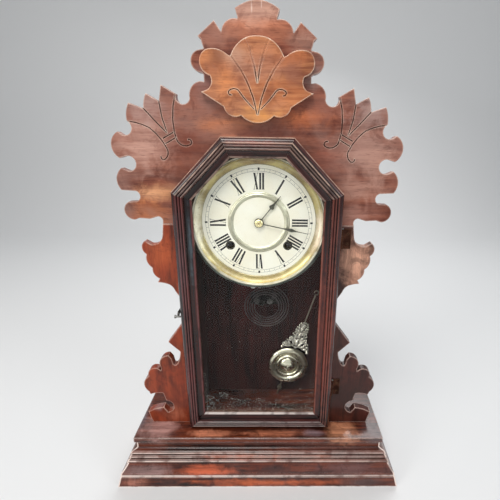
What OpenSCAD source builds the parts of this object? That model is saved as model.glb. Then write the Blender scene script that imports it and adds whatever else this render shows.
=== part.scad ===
// Kitchen shelf clock with a fretwork front: a glazed octagon-topped door on a stepped base, an eight-day
// spring movement with strike and coil gong, and its pendulum unhooked and stood inside the case.
// Drawn with y = 0 on the fretwork's front face, then moved once so the origin is under the base's centre.

/* [Base] */
// Width across the foot of the base mouldings
base_w = 368; // [350:1:390]
// Height of the base, up to the top of its board
base_h = 61.5; // [56:0.5:68]
// How far the moulding steps out from the board's edge to the floor
base_flare = 19; // [16:0.5:22]
// How far the base board stands out in front of the fretwork
board_front = 28; // [24:0.5:32]
// Thickness of the base board
board_t = 7.5; // [6:0.5:10]
// Thickness of the mouldings behind the board's edge
moulding_back = 14; // [10:0.5:18]

/* [Case] */
// Inside depth of the case, fretwork to backboard
case_d = 57; // [56.5:0.5:64]
// Thickness of the case's boards
case_wall = 8; // [6:0.5:9]
// Thickness of the backboard
back_t = 5; // [4:0.5:8]
// How far the case's outside lies inside the door's outline
case_inset = 3; // [2.5:0.5:4]

/* [Fretwork] */
// How far the widest lobes of the wings stay inside the ends of the base board
lobe_inset = 8; // [2:0.5:14]
// Height of the side boards, base board to the joint with the crest
wing_h = 282; // [272:1:292]
// Height of the crest board above that joint
crest_h = 221.5; // [215:0.5:240]
// Thickness of the fretwork boards
fret_t = 10; // [8:0.5:11]
// Thickness of the ornament applied to the crest
ornament_t = 8; // [6:0.5:10]
// Width of the incised lines
line_w = 1.5; // [1:0.1:2]
// Depth of the incised lines
line_d = 0.9; // [0.6:0.1:1.4]

/* [Door] */
// Width of the door
door_w = 188; // [184:0.5:192]
// Height of the door
door_h = 374; // [368:1:380]
// Width of the door's top edge
door_top_w = 77; // [70:0.5:84]
// Height of the door's sloping shoulders
shoulder_h = 58; // [52:0.5:64]
// Thickness of the door
door_t = 18; // [17:0.5:20]
// Width of the door's reeded moulding
rail_w = 21.5; // [20:0.5:24]
// Gap between the door and the base board
door_sill = 4.2; // [3:0.1:6]
// Thickness of the door glass
glass_t = 2; // [1.5:0.1:2.4]

/* [Dial] */
// Height of the dial's centre above the base board
dial_rise = 283.5; // [281:0.5:286]
// Width of the zinc pan's flange outside the bezel
flange_w = 4.5; // [3:0.1:6]
// Width of the brass bezel's band
bezel_w = 11.5; // [10:0.1:13]
// Diameter of the winding holes
winding_hole_d = 9.2; // [9:0.1:10]
// Depth of the dial pan behind the fretwork's front face
dial_set = 7; // [6.5:0.1:7.4]

/* [Hands] */
// Hour shown
hour = 1; // [0:1:11]
// Minutes shown
minute = 17; // [0:1:59]
// How far the hour hand reaches past the dial's centre ring
hour_past = 5; // [2:0.5:8]
// How far the minute hand ends inside the paper's edge
minute_short = 7; // [3:0.5:12]

/* [Movement] */
// Distance of each winding arbor to the side of the centre
winding_x = 34; // [33.5:0.1:34.5]
// Distance of the winding arbors below the centre
winding_drop = 27.7; // [27.4:0.1:28.2]
// Space between the movement's plates
plate_gap = 30.5; // [30:0.5:32]
// Thickness of the movement's plates
plate_t = 1.5; // [1.2:0.1:1.8]
// Width of the mainsprings
spring_w = 19; // [16:0.5:20]

/* [Gong] */
// Outside radius of the coil gong
gong_r = 33; // [30:0.5:34]
// Diameter of the gong's wire
gong_wire_d = 1.8; // [1.4:0.1:2]
// Distance between the gong's turns
gong_pitch = 3.4; // [3:0.1:3.6]
// Height of the gong's centre above the base board
gong_rise = 153; // [150:0.5:156]

/* [Pendulum] */
// Length of the pendulum, foot to hook
pendulum_len = 182; // [176:0.5:188]
// Diameter of the bob
bob_d = 57; // [52:0.5:60]
// Where the pendulum's foot stands, to the right of the middle
pendulum_x = 23.8; // [20:0.1:28]

/* [Hidden] */

$fn = 48;
walnut = [0.36, 0.16, 0.09];
mahogany = [0.45, 0.2, 0.1];
dark_wood = [0.2, 0.1, 0.07];
brass = [0.75, 0.58, 0.28];
steel = [0.55, 0.56, 0.58];
black = [0.12, 0.12, 0.13];

// Clearances between pieces
run = 0.05;
still = 0.3;
slack = 1;

// Heights and planes worked out from the sizes above
board_w = base_w - 2 * base_flare;
board_d = board_front + fret_t + case_d + back_t;
fret_w = board_w - 2 * lobe_inset;
fret_y = (2 * board_front + base_flare - board_d) / 2;
joint_z = base_h + wing_h;
door_z = base_h + door_sill;
door_top_z = door_z + door_h;
shoulder_z = door_top_z - shoulder_h;
door_back = -still - 0.1;
dial_z = base_h + dial_rise;
back_y = fret_t + case_d;

module on_base() {
    translate([0, fret_y, 0])
        children();
}

// A profile in x and z, thickened from y = front towards the back
module slab(points, front, thick) {
    translate([0, front + thick, 0])
        rotate([90, 0, 0])
            linear_extrude(thick)
                polygon(points);
}

// A cylinder along y
module rod_y(x, z, front, length, r) {
    translate([x, front + length, z])
        rotate([90, 0, 0])
            cylinder(h = length, r = r);
}

// Points of an arc from p to q. Bulge is the tangent of a quarter of its angle, and swells left of travel.
arc_step = 26;
function arc_points(p, q, bulge) =
    abs(bulge) < 0.01 ? [[p.x, p.y]] :
    let (chord = [q.x - p.x, q.y - p.y])
    let (length = norm(chord))
    let (left = [-chord.y, chord.x] / length)
    let (middle = [(p.x + q.x) / 2, (p.y + q.y) / 2])
    let (centre = middle - left * length * (1 - bulge * bulge) / (4 * bulge))
    let (radius = norm([p.x, p.y] - centre))
    let (start = atan2(p.y - centre.y, p.x - centre.x))
    let (turn = 4 * atan(bulge))
    let (steps = max(2, ceil(abs(turn) / arc_step)))
    [for (i = [0:steps - 1])
        centre + radius * [cos(start - turn * i / steps), sin(start - turn * i / steps)]];

// Corners [x, z, bulge] joined by lines and arcs, ending at the last corner
function trace(corners) = [
    for (i = [0:len(corners) - 2])
        each arc_points(corners[i], corners[i + 1], corners[i][2]),
    [corners[len(corners) - 1].x, corners[len(corners) - 1].y]
];

function reversed(points) = [for (i = [len(points) - 1:-1:0]) points[i]];
// The other half of an outline, taken back from the middle, where its own points aren't repeated
function flipped(points) = [for (p = reversed(points)) if (abs(p.x) > 0.001) [-p.x, p.y]];
function left(p) = [-p.x, p.y];

// A line of the given width along a path, thinning to its ends
function side_of(points, i) =
    let (a = points[max(i - 1, 0)])
    let (b = points[min(i + 1, len(points) - 1)])
    [a.y - b.y, b.x - a.x] / norm(b - a);
function half_width(points, i, width) = width / 2 * (0.4 + 0.6 * sin(180 * i / (len(points) - 1)));
function stroke(points, width) = concat(
    [for (i = [0:len(points) - 1]) points[i] + side_of(points, i) * half_width(points, i, width)],
    [for (i = [len(points) - 1:-1:0]) points[i] - side_of(points, i) * half_width(points, i, width)]
);

// The door's outline set in by a distance: the corner above each side, and the corner beside the top
shoulder_angle = atan2(shoulder_h, (door_w - door_top_w) / 2);
function side_corner(inset) =
    [door_w / 2 - inset, shoulder_z - inset * tan((90 - shoulder_angle) / 2)];
function top_corner(inset) =
    [door_top_w / 2 - inset * tan(shoulder_angle / 2), door_top_z - inset];
function arch(inset, bottom) = concat(
    [[door_w / 2 - inset, bottom], side_corner(inset), top_corner(inset)],
    flipped([[door_w / 2 - inset, bottom], side_corner(inset), top_corner(inset)])
);

// Base: board, three mitred mouldings and a back rail
base_back = board_d - board_front;
moulding_h = base_h - board_t;
// Outside of the moulding: distance out from the board's edge, height in parts of the moulding's, bulge
cove_in = 2.7;
base_profile = trace([
    [-cove_in, moulding_h, 0],
    [-cove_in, moulding_h * 0.83, -0.3],
    [base_flare * 0.05, moulding_h * 0.795, 0.75],
    [base_flare * 0.16, moulding_h * 0.697, 0.75],
    [base_flare * 0.22, moulding_h * 0.603, 0.75],
    [base_flare * 0.4, moulding_h * 0.52, 0],
    [base_flare * 0.43, moulding_h * 0.5, -0.08],
    [base_flare * 0.77, moulding_h * 0.34, 0],
    [base_flare * 0.8, moulding_h * 0.31, 0],
    [base_flare * 0.8, moulding_h * 0.25, 0],
    [base_flare * 0.84, moulding_h * 0.24, 0],
    [base_flare, moulding_h * 0.017, 0],
    [base_flare, 0, 0],
    [-moulding_back, 0, 0],
    [-moulding_back, moulding_h, 0]
]);

module moulding_run(length) {
    rotate([90, 0, 0])
        translate([0, 0, -length])
            linear_extrude(length * 2)
                polygon(base_profile);
}

module base_board() {
    color(walnut) on_base()
        translate([-board_w / 2, -board_front, moulding_h])
            cube([board_w, board_d, board_t]);
}

module base_front_moulding() {
    outer = board_w / 2 + base_flare;
    inner = board_w / 2 - moulding_back;
    color(walnut) on_base()
        intersection() {
            translate([0, -board_front, 0])
                rotate([0, 0, -90])
                    moulding_run(base_w);
            linear_extrude(base_h)
                polygon([
                    [-outer, -board_front - base_flare], [outer, -board_front - base_flare],
                    [inner, -board_front + moulding_back], [-inner, -board_front + moulding_back]
                ]);
        }
}

module side_moulding() {
    outer = board_w / 2 + base_flare;
    inner = board_w / 2 - moulding_back;
    intersection() {
        translate([board_w / 2, 0, 0])
            moulding_run(base_w);
        linear_extrude(base_h)
            polygon([
                [outer, -board_front - base_flare], [outer, base_back],
                [inner, base_back], [inner, -board_front + moulding_back]
            ]);
    }
}

module base_right_moulding() {
    color(walnut) on_base()
        side_moulding();
}

module base_left_moulding() {
    color(walnut) on_base()
        mirror([1, 0, 0])
            side_moulding();
}

module base_back_rail() {
    length = board_w - 2 * moulding_back;
    color(dark_wood) on_base()
        translate([-length / 2, base_back - moulding_back, 0])
            cube([length, moulding_back, moulding_h]);
}

// Case: two sides, two slopes and a top, mitred under the door's outline, and a backboard
case_in = case_inset + case_wall;

module side_board() {
    outer = side_corner(case_inset);
    inner = side_corner(case_in);
    slab([[outer.x, base_h], outer, inner, [inner.x, base_h]], fret_t, case_d);
}

module slope_board() {
    slab([
        side_corner(case_inset), top_corner(case_inset), top_corner(case_in), side_corner(case_in)
    ], fret_t, case_d);
}

module case_right_side() {
    color(dark_wood) on_base()
        side_board();
}

module case_left_side() {
    color(dark_wood) on_base()
        mirror([1, 0, 0])
            side_board();
}

module case_slopes() {
    color(dark_wood) on_base() {
        slope_board();
        mirror([1, 0, 0])
            slope_board();
    }
}

module case_top() {
    color(dark_wood) on_base()
        slab(concat(
            [top_corner(case_inset), top_corner(case_in)],
            flipped([top_corner(case_inset), top_corner(case_in)])
        ), fret_t, case_d);
}

module backboard() {
    color(dark_wood) on_base()
        slab(arch(case_inset, base_h), back_y, back_t);
}

// Fretwork outlines for the right half, from the base board or the joint up, at the widths below
fret_half = 157.2;
wing_rise = 282;
crest_rise = 221.5;
strip_x = door_w / 2 - 1;
function across(x) = x * fret_w / 2 / fret_half;
function on_wing(c) = [across(c.x), base_h + c.y * wing_h / wing_rise, c[2]];
function on_crest(c) = [across(c.x), joint_z + c.y * crest_h / crest_rise, c[2]];

crest_corners = [
    // peak, ear and pointed leaf beside the ornament
    [0, 221.5, 0.12], [21.7, 213.6, 0], [19.4, 206, 0.06], [19.4, 204.8, 0.45], [35.6, 193.6, 0],
    [42.4, 203.1, 0], [59, 189.4, 0], [56.2, 187.2, 0], [53.6, 178.6, 0],
    // two lobes of the side scroll, then the round notch
    [59, 177.5, 0.89], [57.3, 157.3, 0], [54.7, 155.7, 0], [54.7, 148.8, 0], [59, 149.3, 0.42],
    [70.4, 133.5, -1.1], [84.5, 137.1, 0],
    // three feathers
    [99.1, 145.4, 0], [102.2, 129.9, 0], [115.2, 137, 0.12], [118.9, 122.7, 0], [134.1, 127.9, 0.14],
    [137.6, 110.4, -1.2],
    // three lobes down the side, with round notches between
    [146.9, 98.6, 0], [148.9, 99.5, 0.575], [149.9, 72.4, 0], [143, 74.5, -1.36], [143, 59.4, 0],
    [149.3, 62.1, 0.43], [152, 38.2, 0], [136.2, 37.3, -0.9], [139, 25.7, 0], [145.7, 25.3, 0.79],
    [140.8, 4.9, 0], [135.4, 6.8, 0], [123.4, 6, 0], [114.6, 8.8, -0.45], [109.4, 3.2, 0],
    [109.9, 0, 0]
];
wing_top_corners = [
    // drooping tip and three small scallops under it
    [109.9, 282, 0], [111.5, 268.5, -0.42], [126, 257.5, 0], [132.9, 261.6, 0.53], [132.3, 245.5, 0.34],
    [127.1, 228.5, 0.33], [119.7, 214.7, 0], [122.5, 209.7, -0.1], [113, 208.5, -0.3], [102.3, 198.6, 0]
];
wing_foot_corners = [
    // pointed leaf, round notch and three lobes
    [117, 127.4, 0], [102.7, 113, -0.1], [107, 96, 0], [110.3, 92.6, 0], [112.8, 93.1, 0],
    [114.5, 101.8, 0], [118.5, 107.1, 0.57], [129.6, 88.6, 0], [130.2, 84, 0.87], [146.9, 75, 0.54],
    [149.2, 51, 0], [147.6, 46.3, -0.15], [130.5, 48.3, 0], [127.5, 36.3, -0.9],
    // keyhole notch and the foot
    [126.2, 16.6, 0], [131.7, 24.8, 0.06], [145.6, 21.6, 0], [153.3, 17.1, 0], [148.4, 0, 0]
];
strip_top = 184;
strip_bottom = 160;

crest_edge = trace([for (c = crest_corners) on_crest(c)]);
wing_edge = trace(concat(
    [for (c = wing_top_corners) on_wing(c)],
    [[strip_x, on_wing([0, strip_top]).y, 0], [strip_x, on_wing([0, strip_bottom]).y, 0]],
    [for (c = wing_foot_corners) on_wing(c)]
));

// Incised lines on the crest, right half: the feathers, and a short line beside the peak
feather_lines = [
    [[133.5, 107.6, -0.1], [114.5, 103.9, -0.13], [97.2, 82, -0.3], [100.5, 72, -0.75], [104.8, 75]],
    [[118, 121.6, 0.02], [96.6, 99]],
    [[101.2, 127.5, 0.08], [96.2, 99.3]],
    [[85.6, 134, 0.12], [88.6, 100, 0.02], [86.2, 91, 0.45], [71.6, 88, 0.8], [75, 92.5]],
    [[101.5, 93.2, 0], [89.2, 99.8]],
    [[99, 88, 0], [86.6, 94.8]],
    [[3.2, 216.2, 0.04], [4.6, 209]]
];

function crest_line(corners) = stroke(trace([for (c = corners) on_crest(c)]), line_w);

module incised(points) {
    translate([0, line_d, 0])
        rotate([90, 0, 0])
            linear_extrude(line_d * 2)
                polygon(points);
}

module crest_board() {
    opening = [side_corner(case_in), top_corner(case_in)];
    half = concat(reversed(opening), [[side_corner(case_in).x, joint_z]], reversed(crest_edge));
    color(walnut) on_base()
        difference() {
            slab(concat(half, flipped(half)), 0, fret_t);
            for (corners = feather_lines) {
                incised(crest_line(corners));
                mirror([1, 0, 0])
                    incised(crest_line(corners));
            }
        }
}

module wing() {
    inner = side_corner(case_in).x;
    slab(concat(wing_edge, [[inner, base_h], [inner, joint_z]]), 0, fret_t);
}

module right_wing() {
    color(mahogany) on_base()
        wing();
}

module left_wing() {
    color(mahogany) on_base()
        mirror([1, 0, 0])
            wing();
}

// Ornament applied to the crest: a shield of lobes with a V of incised lines and two scrolls
ornament_corners = [
    [0, 189, 0.33], [26.3, 171.1, 0], [29, 172.1, 0.25], [50, 176.6, 0.72], [47.4, 153.4, -0.42],
    [50.5, 140.7, 0], [56.8, 138.4, 0], [34.5, 124.8, 0.5], [16.9, 116.8, 0.21], [0, 109.7, 0]
];
ornament_lines = [
    [[25.4, 170, -0.15], [1.1, 118.5]],
    [[10.6, 183.6, -0.12], [1.2, 149]],
    [[3.4, 123, -0.05], [19.5, 140.6, 0.35], [28.7, 139.6, 0.7], [26, 136]]
];
ornament_edge = trace([for (c = ornament_corners) on_crest(c)]);

module crest_ornament() {
    color(mahogany) on_base()
        translate([0, -ornament_t, 0])
            difference() {
                slab(concat(ornament_edge, flipped(ornament_edge)), 0, ornament_t);
                for (corners = ornament_lines) {
                    incised(crest_line(corners));
                    mirror([1, 0, 0])
                        incised(crest_line(corners));
                }
            }
}

// Door: six mitred lengths of reeded moulding round the glass
rebate_w = 5;
rebate_d = 8;
reed_w = 3.05;
reeds = 3;
reed_start = 4.4;
reed_base = door_t - 1.6;
ledge_h = door_t - 6;
// Section of the moulding: distance in from the door's edge, height from its back, bulge
door_profile = trace(concat(
    [[0, 0, 0], [0, door_t - 7.5, 0.36]],
    [for (i = [0:reeds - 1]) [reed_start + reed_w * i, reed_base, 0.8]],
    [
        [reed_start + reed_w * reeds, reed_base, 0],
        [reed_start + reed_w * reeds + 0.3, ledge_h, -0.06],
        [rail_w - 3, ledge_h - 0.8, 0.35],
        [rail_w, ledge_h - 2.4, 0],
        [rail_w, rebate_d, 0],
        [rail_w - rebate_w, rebate_d, 0],
        [rail_w - rebate_w, 0, 0]
    ]
));

module door_member(from, to, from_in, to_in, lean) {
    length = norm(to - from);
    intersection() {
        translate([from.x, door_back, from.y])
            rotate([0, lean, 0])
                translate([0, 0, -rail_w])
                    linear_extrude(length + 2 * rail_w)
                        polygon([for (p = door_profile) [p.x, -p.y]]);
        slab([from, to, to_in, from_in], door_back - door_t - slack, door_t + slack);
    }
}

door_foot = [door_w / 2, door_z];
door_foot_in = [door_w / 2 - rail_w, door_z + rail_w];

module door_left_stile() {
    color(dark_wood) on_base()
        door_member(left(door_foot), left(side_corner(0)), left(door_foot_in),
            left(side_corner(rail_w)), 0);
}

module door_left_shoulder() {
    color(dark_wood) on_base()
        door_member(left(side_corner(0)), left(top_corner(0)), left(side_corner(rail_w)),
            left(top_corner(rail_w)), 90 - shoulder_angle);
}

module door_top_rail() {
    color(dark_wood) on_base()
        door_member(left(top_corner(0)), top_corner(0), left(top_corner(rail_w)), top_corner(rail_w), 90);
}

module door_right_shoulder() {
    color(dark_wood) on_base()
        door_member(top_corner(0), side_corner(0), top_corner(rail_w), side_corner(rail_w),
            90 + shoulder_angle);
}

module door_right_stile() {
    color(dark_wood) on_base()
        door_member(side_corner(0), door_foot, side_corner(rail_w), door_foot_in, 180);
}

module door_bottom_rail() {
    color(dark_wood) on_base()
        door_member(door_foot, left(door_foot), door_foot_in, left(door_foot_in), 270);
}

glass_inset = rail_w - rebate_w + still;

module door_glass() {
    color([0.75, 0.85, 0.85, 0.3]) on_base()
        slab(arch(glass_inset, door_z + glass_inset), door_back - rebate_d, glass_t);
}

module glazing_strips() {
    strip_w = 4;
    strip_t = 3.5;
    outer = rail_w - rebate_w;
    color(dark_wood) on_base()
        difference() {
            slab(arch(outer, door_z + outer), door_back - rebate_d + glass_t, strip_t);
            slab(arch(outer + strip_w, door_z + outer + strip_w), door_back - rebate_d, rebate_d);
        }
}

// Hinges on the right: a leaf on the fretwork, a leaf on the door's edge, and a pin through the knuckles
hinge_h = 24;
hinge_leaf_t = 1;
hinge_leaf_w = 11;
door_leaf_w = 8;
knuckle_r = 2;
hinge_pin_r = 0.8;
hinge_x = door_w / 2 + knuckle_r + 0.2;
hinge_y = -knuckle_r - 0.5;
hinge_rise = 60;
hinge_drop = 15;
hinge_centres = [base_h + hinge_rise, joint_z - hinge_drop];
knuckle_h = hinge_h / 3;
hinge_play = 0.1;

module knuckle(z) {
    translate([hinge_x, hinge_y, z - knuckle_h / 2 + hinge_play])
        cylinder(h = knuckle_h - 2 * hinge_play, r = knuckle_r);
}

module knuckle_room(z) {
    translate([hinge_x, hinge_y, z - knuckle_h / 2 - hinge_play])
        cylinder(h = knuckle_h + 2 * hinge_play, r = knuckle_r + still);
}

module hinge_bore(z) {
    translate([hinge_x, hinge_y, z - hinge_h])
        cylinder(h = hinge_h * 2, r = hinge_pin_r + run);
}

module case_hinge_leaves() {
    screw_x = hinge_x + hinge_leaf_w * 0.65;
    color(brass) on_base()
        for (z = hinge_centres)
            difference() {
                union() {
                    translate([hinge_x, -hinge_leaf_t, z - hinge_h / 2])
                        cube([hinge_leaf_w, hinge_leaf_t, hinge_h]);
                    for (side = [-1, 1])
                        knuckle(z + side * knuckle_h);
                }
                knuckle_room(z);
                hinge_bore(z);
                for (side = [-1, 1])
                    rod_y(screw_x, z + side * hinge_h / 4, -hinge_leaf_t * 2, hinge_leaf_t * 3, 1.1);
            }
}

module door_hinge_leaves() {
    color(brass) on_base()
        for (z = hinge_centres)
            difference() {
                union() {
                    translate([door_w / 2, hinge_y - door_leaf_w, z - hinge_h / 2])
                        cube([hinge_leaf_t, door_leaf_w, hinge_h]);
                    knuckle(z);
                }
                for (side = [-1, 1])
                    knuckle_room(z + side * knuckle_h);
                hinge_bore(z);
            }
}

module hinge_pins() {
    head_t = 1.4;
    color(steel) on_base()
        for (z = hinge_centres)
            translate([hinge_x, hinge_y, z - hinge_h / 2 - hinge_leaf_t]) {
                cylinder(h = hinge_h + 2 * hinge_leaf_t, r = hinge_pin_r);
                translate([0, 0, hinge_h + hinge_leaf_t])
                    cylinder(h = head_t, r = knuckle_r * 0.75);
            }
}

// Door catch on the left: a hook that turns on a screw in the case and drops over a pin in the door's edge
latch_rise = 174;
latch_z = base_h + latch_rise;
latch_y = fret_t + 7;
latch_gap = 1.4;
latch_x = -door_w / 2 - latch_gap;
latch_t = 1.8;
latch_screw_r = 1.2;
catch_y = door_back - door_t / 2;
catch_drop = 4.9;
catch_r = 1.1;
catch_len = 6.5;
head_t = 2;
latch_reach = latch_y - catch_y;

module pin_x(x, y, z, length, r) {
    translate([x, y, z])
        rotate([0, -90, 0])
            cylinder(h = length, r = r);
}

module catch_pin() {
    z = latch_z - catch_drop;
    sunk = 6;
    color(steel) on_base() {
        pin_x(-door_w / 2 + sunk, catch_y, z, catch_len + sunk, catch_r);
        pin_x(-door_w / 2 - catch_len, catch_y, z, head_t, catch_r + 1);
    }
}

module latch_hook() {
    // in y and z about the screw, hooked end to the front
    arm = trace([
        [3.4, 0, -0.3], [2, 2.6, 0], [-2, 2.6, 0], [-latch_reach, 3.2, -0.35],
        [-latch_reach - 4.5, 2.4, -0.5], [-latch_reach - 5.2, -0.8, -0.4],
        [-latch_reach - 2.6, -1.4, 0.3], [-latch_reach + 1.6, -0.6, 0],
        [-2, -2.6, 0], [2, -2.6, -0.3], [3.4, 0]
    ]);
    color(black) on_base()
        translate([latch_x, latch_y, latch_z])
            difference() {
                rotate([90, 0, -90])
                    linear_extrude(latch_t)
                        polygon([for (i = [0:len(arm) - 2]) [-arm[i].x, arm[i].y]]);
                pin_x(slack, 0, 0, latch_t + 2 * slack, latch_screw_r + run);
            }
}

module latch_screw() {
    sunk = door_w / 2 - case_inset - case_wall / 2;
    hook_face = -latch_x + latch_t + still;
    color(steel) on_base() {
        pin_x(-sunk, latch_y, latch_z, hook_face - sunk, latch_screw_r);
        pin_x(-hook_face, latch_y, latch_z, head_t, latch_screw_r + 1.4);
    }
}

// Dial: blocks glued to the case's sides, a flat zinc pan, the paper with its raised ring, and a bezel
centre_at = [0, dial_z];
slope_room = (side_corner(case_in) - centre_at) * [sin(shoulder_angle), cos(shoulder_angle)];
dial_room = min(side_corner(case_in).x, slope_room, top_corner(case_in).y - dial_z);
pan_r = dial_room - still;
bezel_r = pan_r - flange_w;
paper_r = bezel_r - bezel_w;
zinc_t = 0.8;
paper_t = 0.3;
pipe_r = 3.2;
dial_hole_r = pipe_r + 1.4;
block_top = side_corner(case_in).y - dial_z - slack;
block_h = 24;
block_lap = 11;
block_w = side_corner(case_in).x - pan_r + block_lap;
block_d = 19;
ring_in = 29;
ring_out = 35;
ring_rise = 0.9;
ring_steps = 8;
bezel_lip = 6;
bezel_t = 0.6;
pan_back = dial_set + zinc_t;
winding_offsets = [[winding_x, -winding_drop], [-winding_x, -winding_drop]];

// Outline in radius and y, turned about the dial's axis
module dial_turned(points) {
    translate([0, 0, dial_z])
        rotate([90, 0, 0])
            rotate_extrude($fn = 96)
                polygon([for (p = points) [p.x, -p.y]]);
}

module winding_holes() {
    for (at = winding_offsets)
        rod_y(at.x, dial_z + at.y, -slack, dial_set * 3, winding_hole_d / 2);
}

module dial_blocks() {
    inner = side_corner(case_in).x;
    color(dark_wood) on_base()
        for (side = [-1, 1], foot = [block_top - block_h, -block_top])
            translate([side > 0 ? inner - block_w : -inner, pan_back, dial_z + foot])
                cube([block_w, block_d, block_h]);
}

module dial_pan() {
    color(steel) on_base()
        difference() {
            dial_turned([
                [dial_hole_r, dial_set], [pan_r, dial_set], [pan_r, pan_back], [dial_hole_r, pan_back]
            ]);
            winding_holes();
        }
}

module dial_paper() {
    front = dial_set - paper_t;
    color([0.95, 0.94, 0.88]) on_base()
        difference() {
            dial_turned(concat(
                [[dial_hole_r, dial_set], [dial_hole_r, front]],
                [for (step = [0:ring_steps])
                    [ring_in + (ring_out - ring_in) * step / ring_steps,
                        front - ring_rise * sin(180 * step / ring_steps)]],
                [[paper_r, front], [paper_r, dial_set]]
            ));
            winding_holes();
        }
}

// Concave band rising from the paper's edge to a rolled lip, then a skirt back to the pan
module dial_bezel() {
    inner = paper_r + 0.2;
    outer = bezel_r;
    front = dial_set - bezel_lip;
    band = trace([
        [inner, dial_set - 0.8, 0.22], [outer - 1.4, front, -0.6], [outer, front + 0.6, 0],
        [outer, dial_set, 0], [outer - bezel_t, dial_set, 0], [outer - bezel_t, front + 2 * bezel_t, 0],
        [outer - 1.6, front + 1.4 * bezel_t, -0.22], [inner, dial_set]
    ]);
    color(brass) on_base()
        dial_turned(band);
}

// Hands, drawn upright and turned to the time shown
minute_angle = minute * 6;
hour_angle = hour * 30 + minute / 2;
hand_t = 0.6;
hour_y = dial_set - 2.8;
minute_y = hour_y - 1.6;
hour_len = ring_out + hour_past;
minute_len = paper_r - minute_short;
stem_w = 1.2;
boss_r = 5.7;
centre_r = 1.1;
sleeve_r = 2.4;

module hand(half, boss, bore, front, angle) {
    translate([0, 0, dial_z])
        rotate([0, angle, 0])
            difference() {
                union() {
                    slab(concat(half, flipped(half)), front, hand_t);
                    rod_y(0, 0, front, hand_t, boss);
                }
                rod_y(0, 0, front - slack, hand_t + 2 * slack, bore);
            }
}

module hour_hand() {
    half = trace([
        [-stem_w / 2, 0, 0], [-stem_w / 2, hour_len * 0.54, 0.75], [-stem_w * 0.75, hour_len * 0.71, -0.03],
        [0, hour_len]
    ]);
    color(black) on_base()
        hand(half, boss_r, sleeve_r, hour_y, hour_angle);
}

module minute_hand() {
    swell = 2.1;
    half = [
        [-stem_w / 2, 0], [-stem_w / 2, minute_len * 0.53], [-swell, minute_len * 0.63],
        [-stem_w * 0.4, minute_len * 0.72], [-0.2, minute_len]
    ];
    color(black) on_base()
        hand(half, boss_r / 2, centre_r, minute_y, minute_angle);
}

module hand_collet() {
    rim_r = 4.7;
    dome_t = 1.2;
    color(brass) on_base()
        translate([0, minute_y, dial_z])
            rotate([90, 0, 0])
                rotate_extrude()
                    polygon(trace([
                        [centre_r, 0, 0], [rim_r, 0, 0], [rim_r, 0.3, -0.2], [rim_r / 2, dome_t, 0],
                        [centre_r, dome_t]
                    ]));
}

// Movement: wheels are [teeth, module], and their arbors stand where the wheels that mesh put them
trundles = 6;
great = [51, 1.1];
second = [42, 0.78];
third = [60, 0.54];
fourth = [66, 0.436];
lifting = [42, 0.64];
motion_minute = [36, 0.5];
motion_hour = [40, 0.48];
cannon_count = 12;
motion_count = 10;

function pitch_r(wheel) = wheel[0] * wheel[1] / 2;
function pinion_r(wheel, count) = count * wheel[1] / 2;
function apart(wheel, count) = pitch_r(wheel) + pinion_r(wheel, count);
function bearing(a, b) = atan2(b.y - a.y, b.x - a.x);
// The point at distance ra from a and rb from b, on the left of the way from a to b
function meet(a, ra, b, rb) =
    let (d = norm(b - a))
    let (along = (ra * ra - rb * rb + d * d) / (2 * d))
    let (out = sqrt(ra * ra - along * along))
    a + (b - a) * along / d + [a.y - b.y, b.x - a.x] * out / d;

time_at = centre_at + [winding_x, -winding_drop];
strike_at = left(time_at);
second_at = meet(centre_at, apart(second, trundles), time_at, apart(great, trundles));
lifting_at = left(second_at);
fourth_at = centre_at + [0, apart(third, trundles)];
escape_at = fourth_at + [0, apart(fourth, trundles)];
fly_bearing = 118;
fly_at = lifting_at + apart(lifting, trundles) * [cos(fly_bearing), sin(fly_bearing)];
motion_bearing = -35;
motion_at = centre_at + apart(motion_minute, cannon_count) * [cos(motion_bearing), sin(motion_bearing)];
verge_rise = 15;
verge_at = escape_at + [0, verge_rise];
spring_at = centre_at + [0, 60];
hammer_at = centre_at + [-10, -50];

// Planes of the movement, front to back
plate_front = dial_set + 13;
plate_in = plate_front + plate_t;
plate_out = plate_in + plate_gap;
great_y = plate_in + 0.9;
great_t = 1.6;
wheel_t = 1;
ratchet_y = great_y + great_t + 0.4;
ratchet_t = 1.4;
spring_y = ratchet_y + ratchet_t + 0.5;
fourth_y = plate_in + 1.9;
third_y = plate_out - 2.6;
second_y = third_y - 2.4;
pivot_front = plate_front - 0.6;
pivot_back = plate_out + plate_t + 0.6;
hour_wheel_y = plate_front - 8;
minute_wheel_y = plate_front - 5.3;
escape_y = plate_front - 3;
leader_y = plate_front - 9.8;
square_y = dial_set + 2;

arbor_r = 0.8;
winding_r = 3;
back_pivot_r = 2.1;
cap_t = 0.6;

module arbor(at, r, front, back) {
    rod_y(at.x, at.y, front, back - front, r);
}

module facing(at, front, thick) {
    translate([at.x, front + thick, at.y])
        rotate([90, 0, 0])
            linear_extrude(thick)
                children();
}

// Outline of a wheel's teeth: root and tip in modules from the pitch circle, half widths in teeth
tooth = [[-0.95, -0.36], [0.75, -0.1], [0.75, 0.1], [-0.95, 0.36]];
function teeth(wheel, gap_at) =
    [for (i = [0:wheel[0] - 1], corner = tooth)
        let (a = gap_at + (i + 0.5 + corner.y) * 360 / wheel[0])
        (pitch_r(wheel) + corner.x * wheel[1]) * [cos(a), sin(a)]];

// Toothed wheel with a ring of round windows and a gap between teeth on the bearing given
module toothed(at, wheel, gap_at, front, thick, windows) {
    r = pitch_r(wheel);
    facing(at, front, thick)
        difference() {
            polygon(teeth(wheel, gap_at));
            for (i = [1:windows])
                rotate(gap_at + 360 * i / windows)
                    translate([r * 0.56, 0])
                        circle(r = r * 0.2);
        }
}

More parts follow.
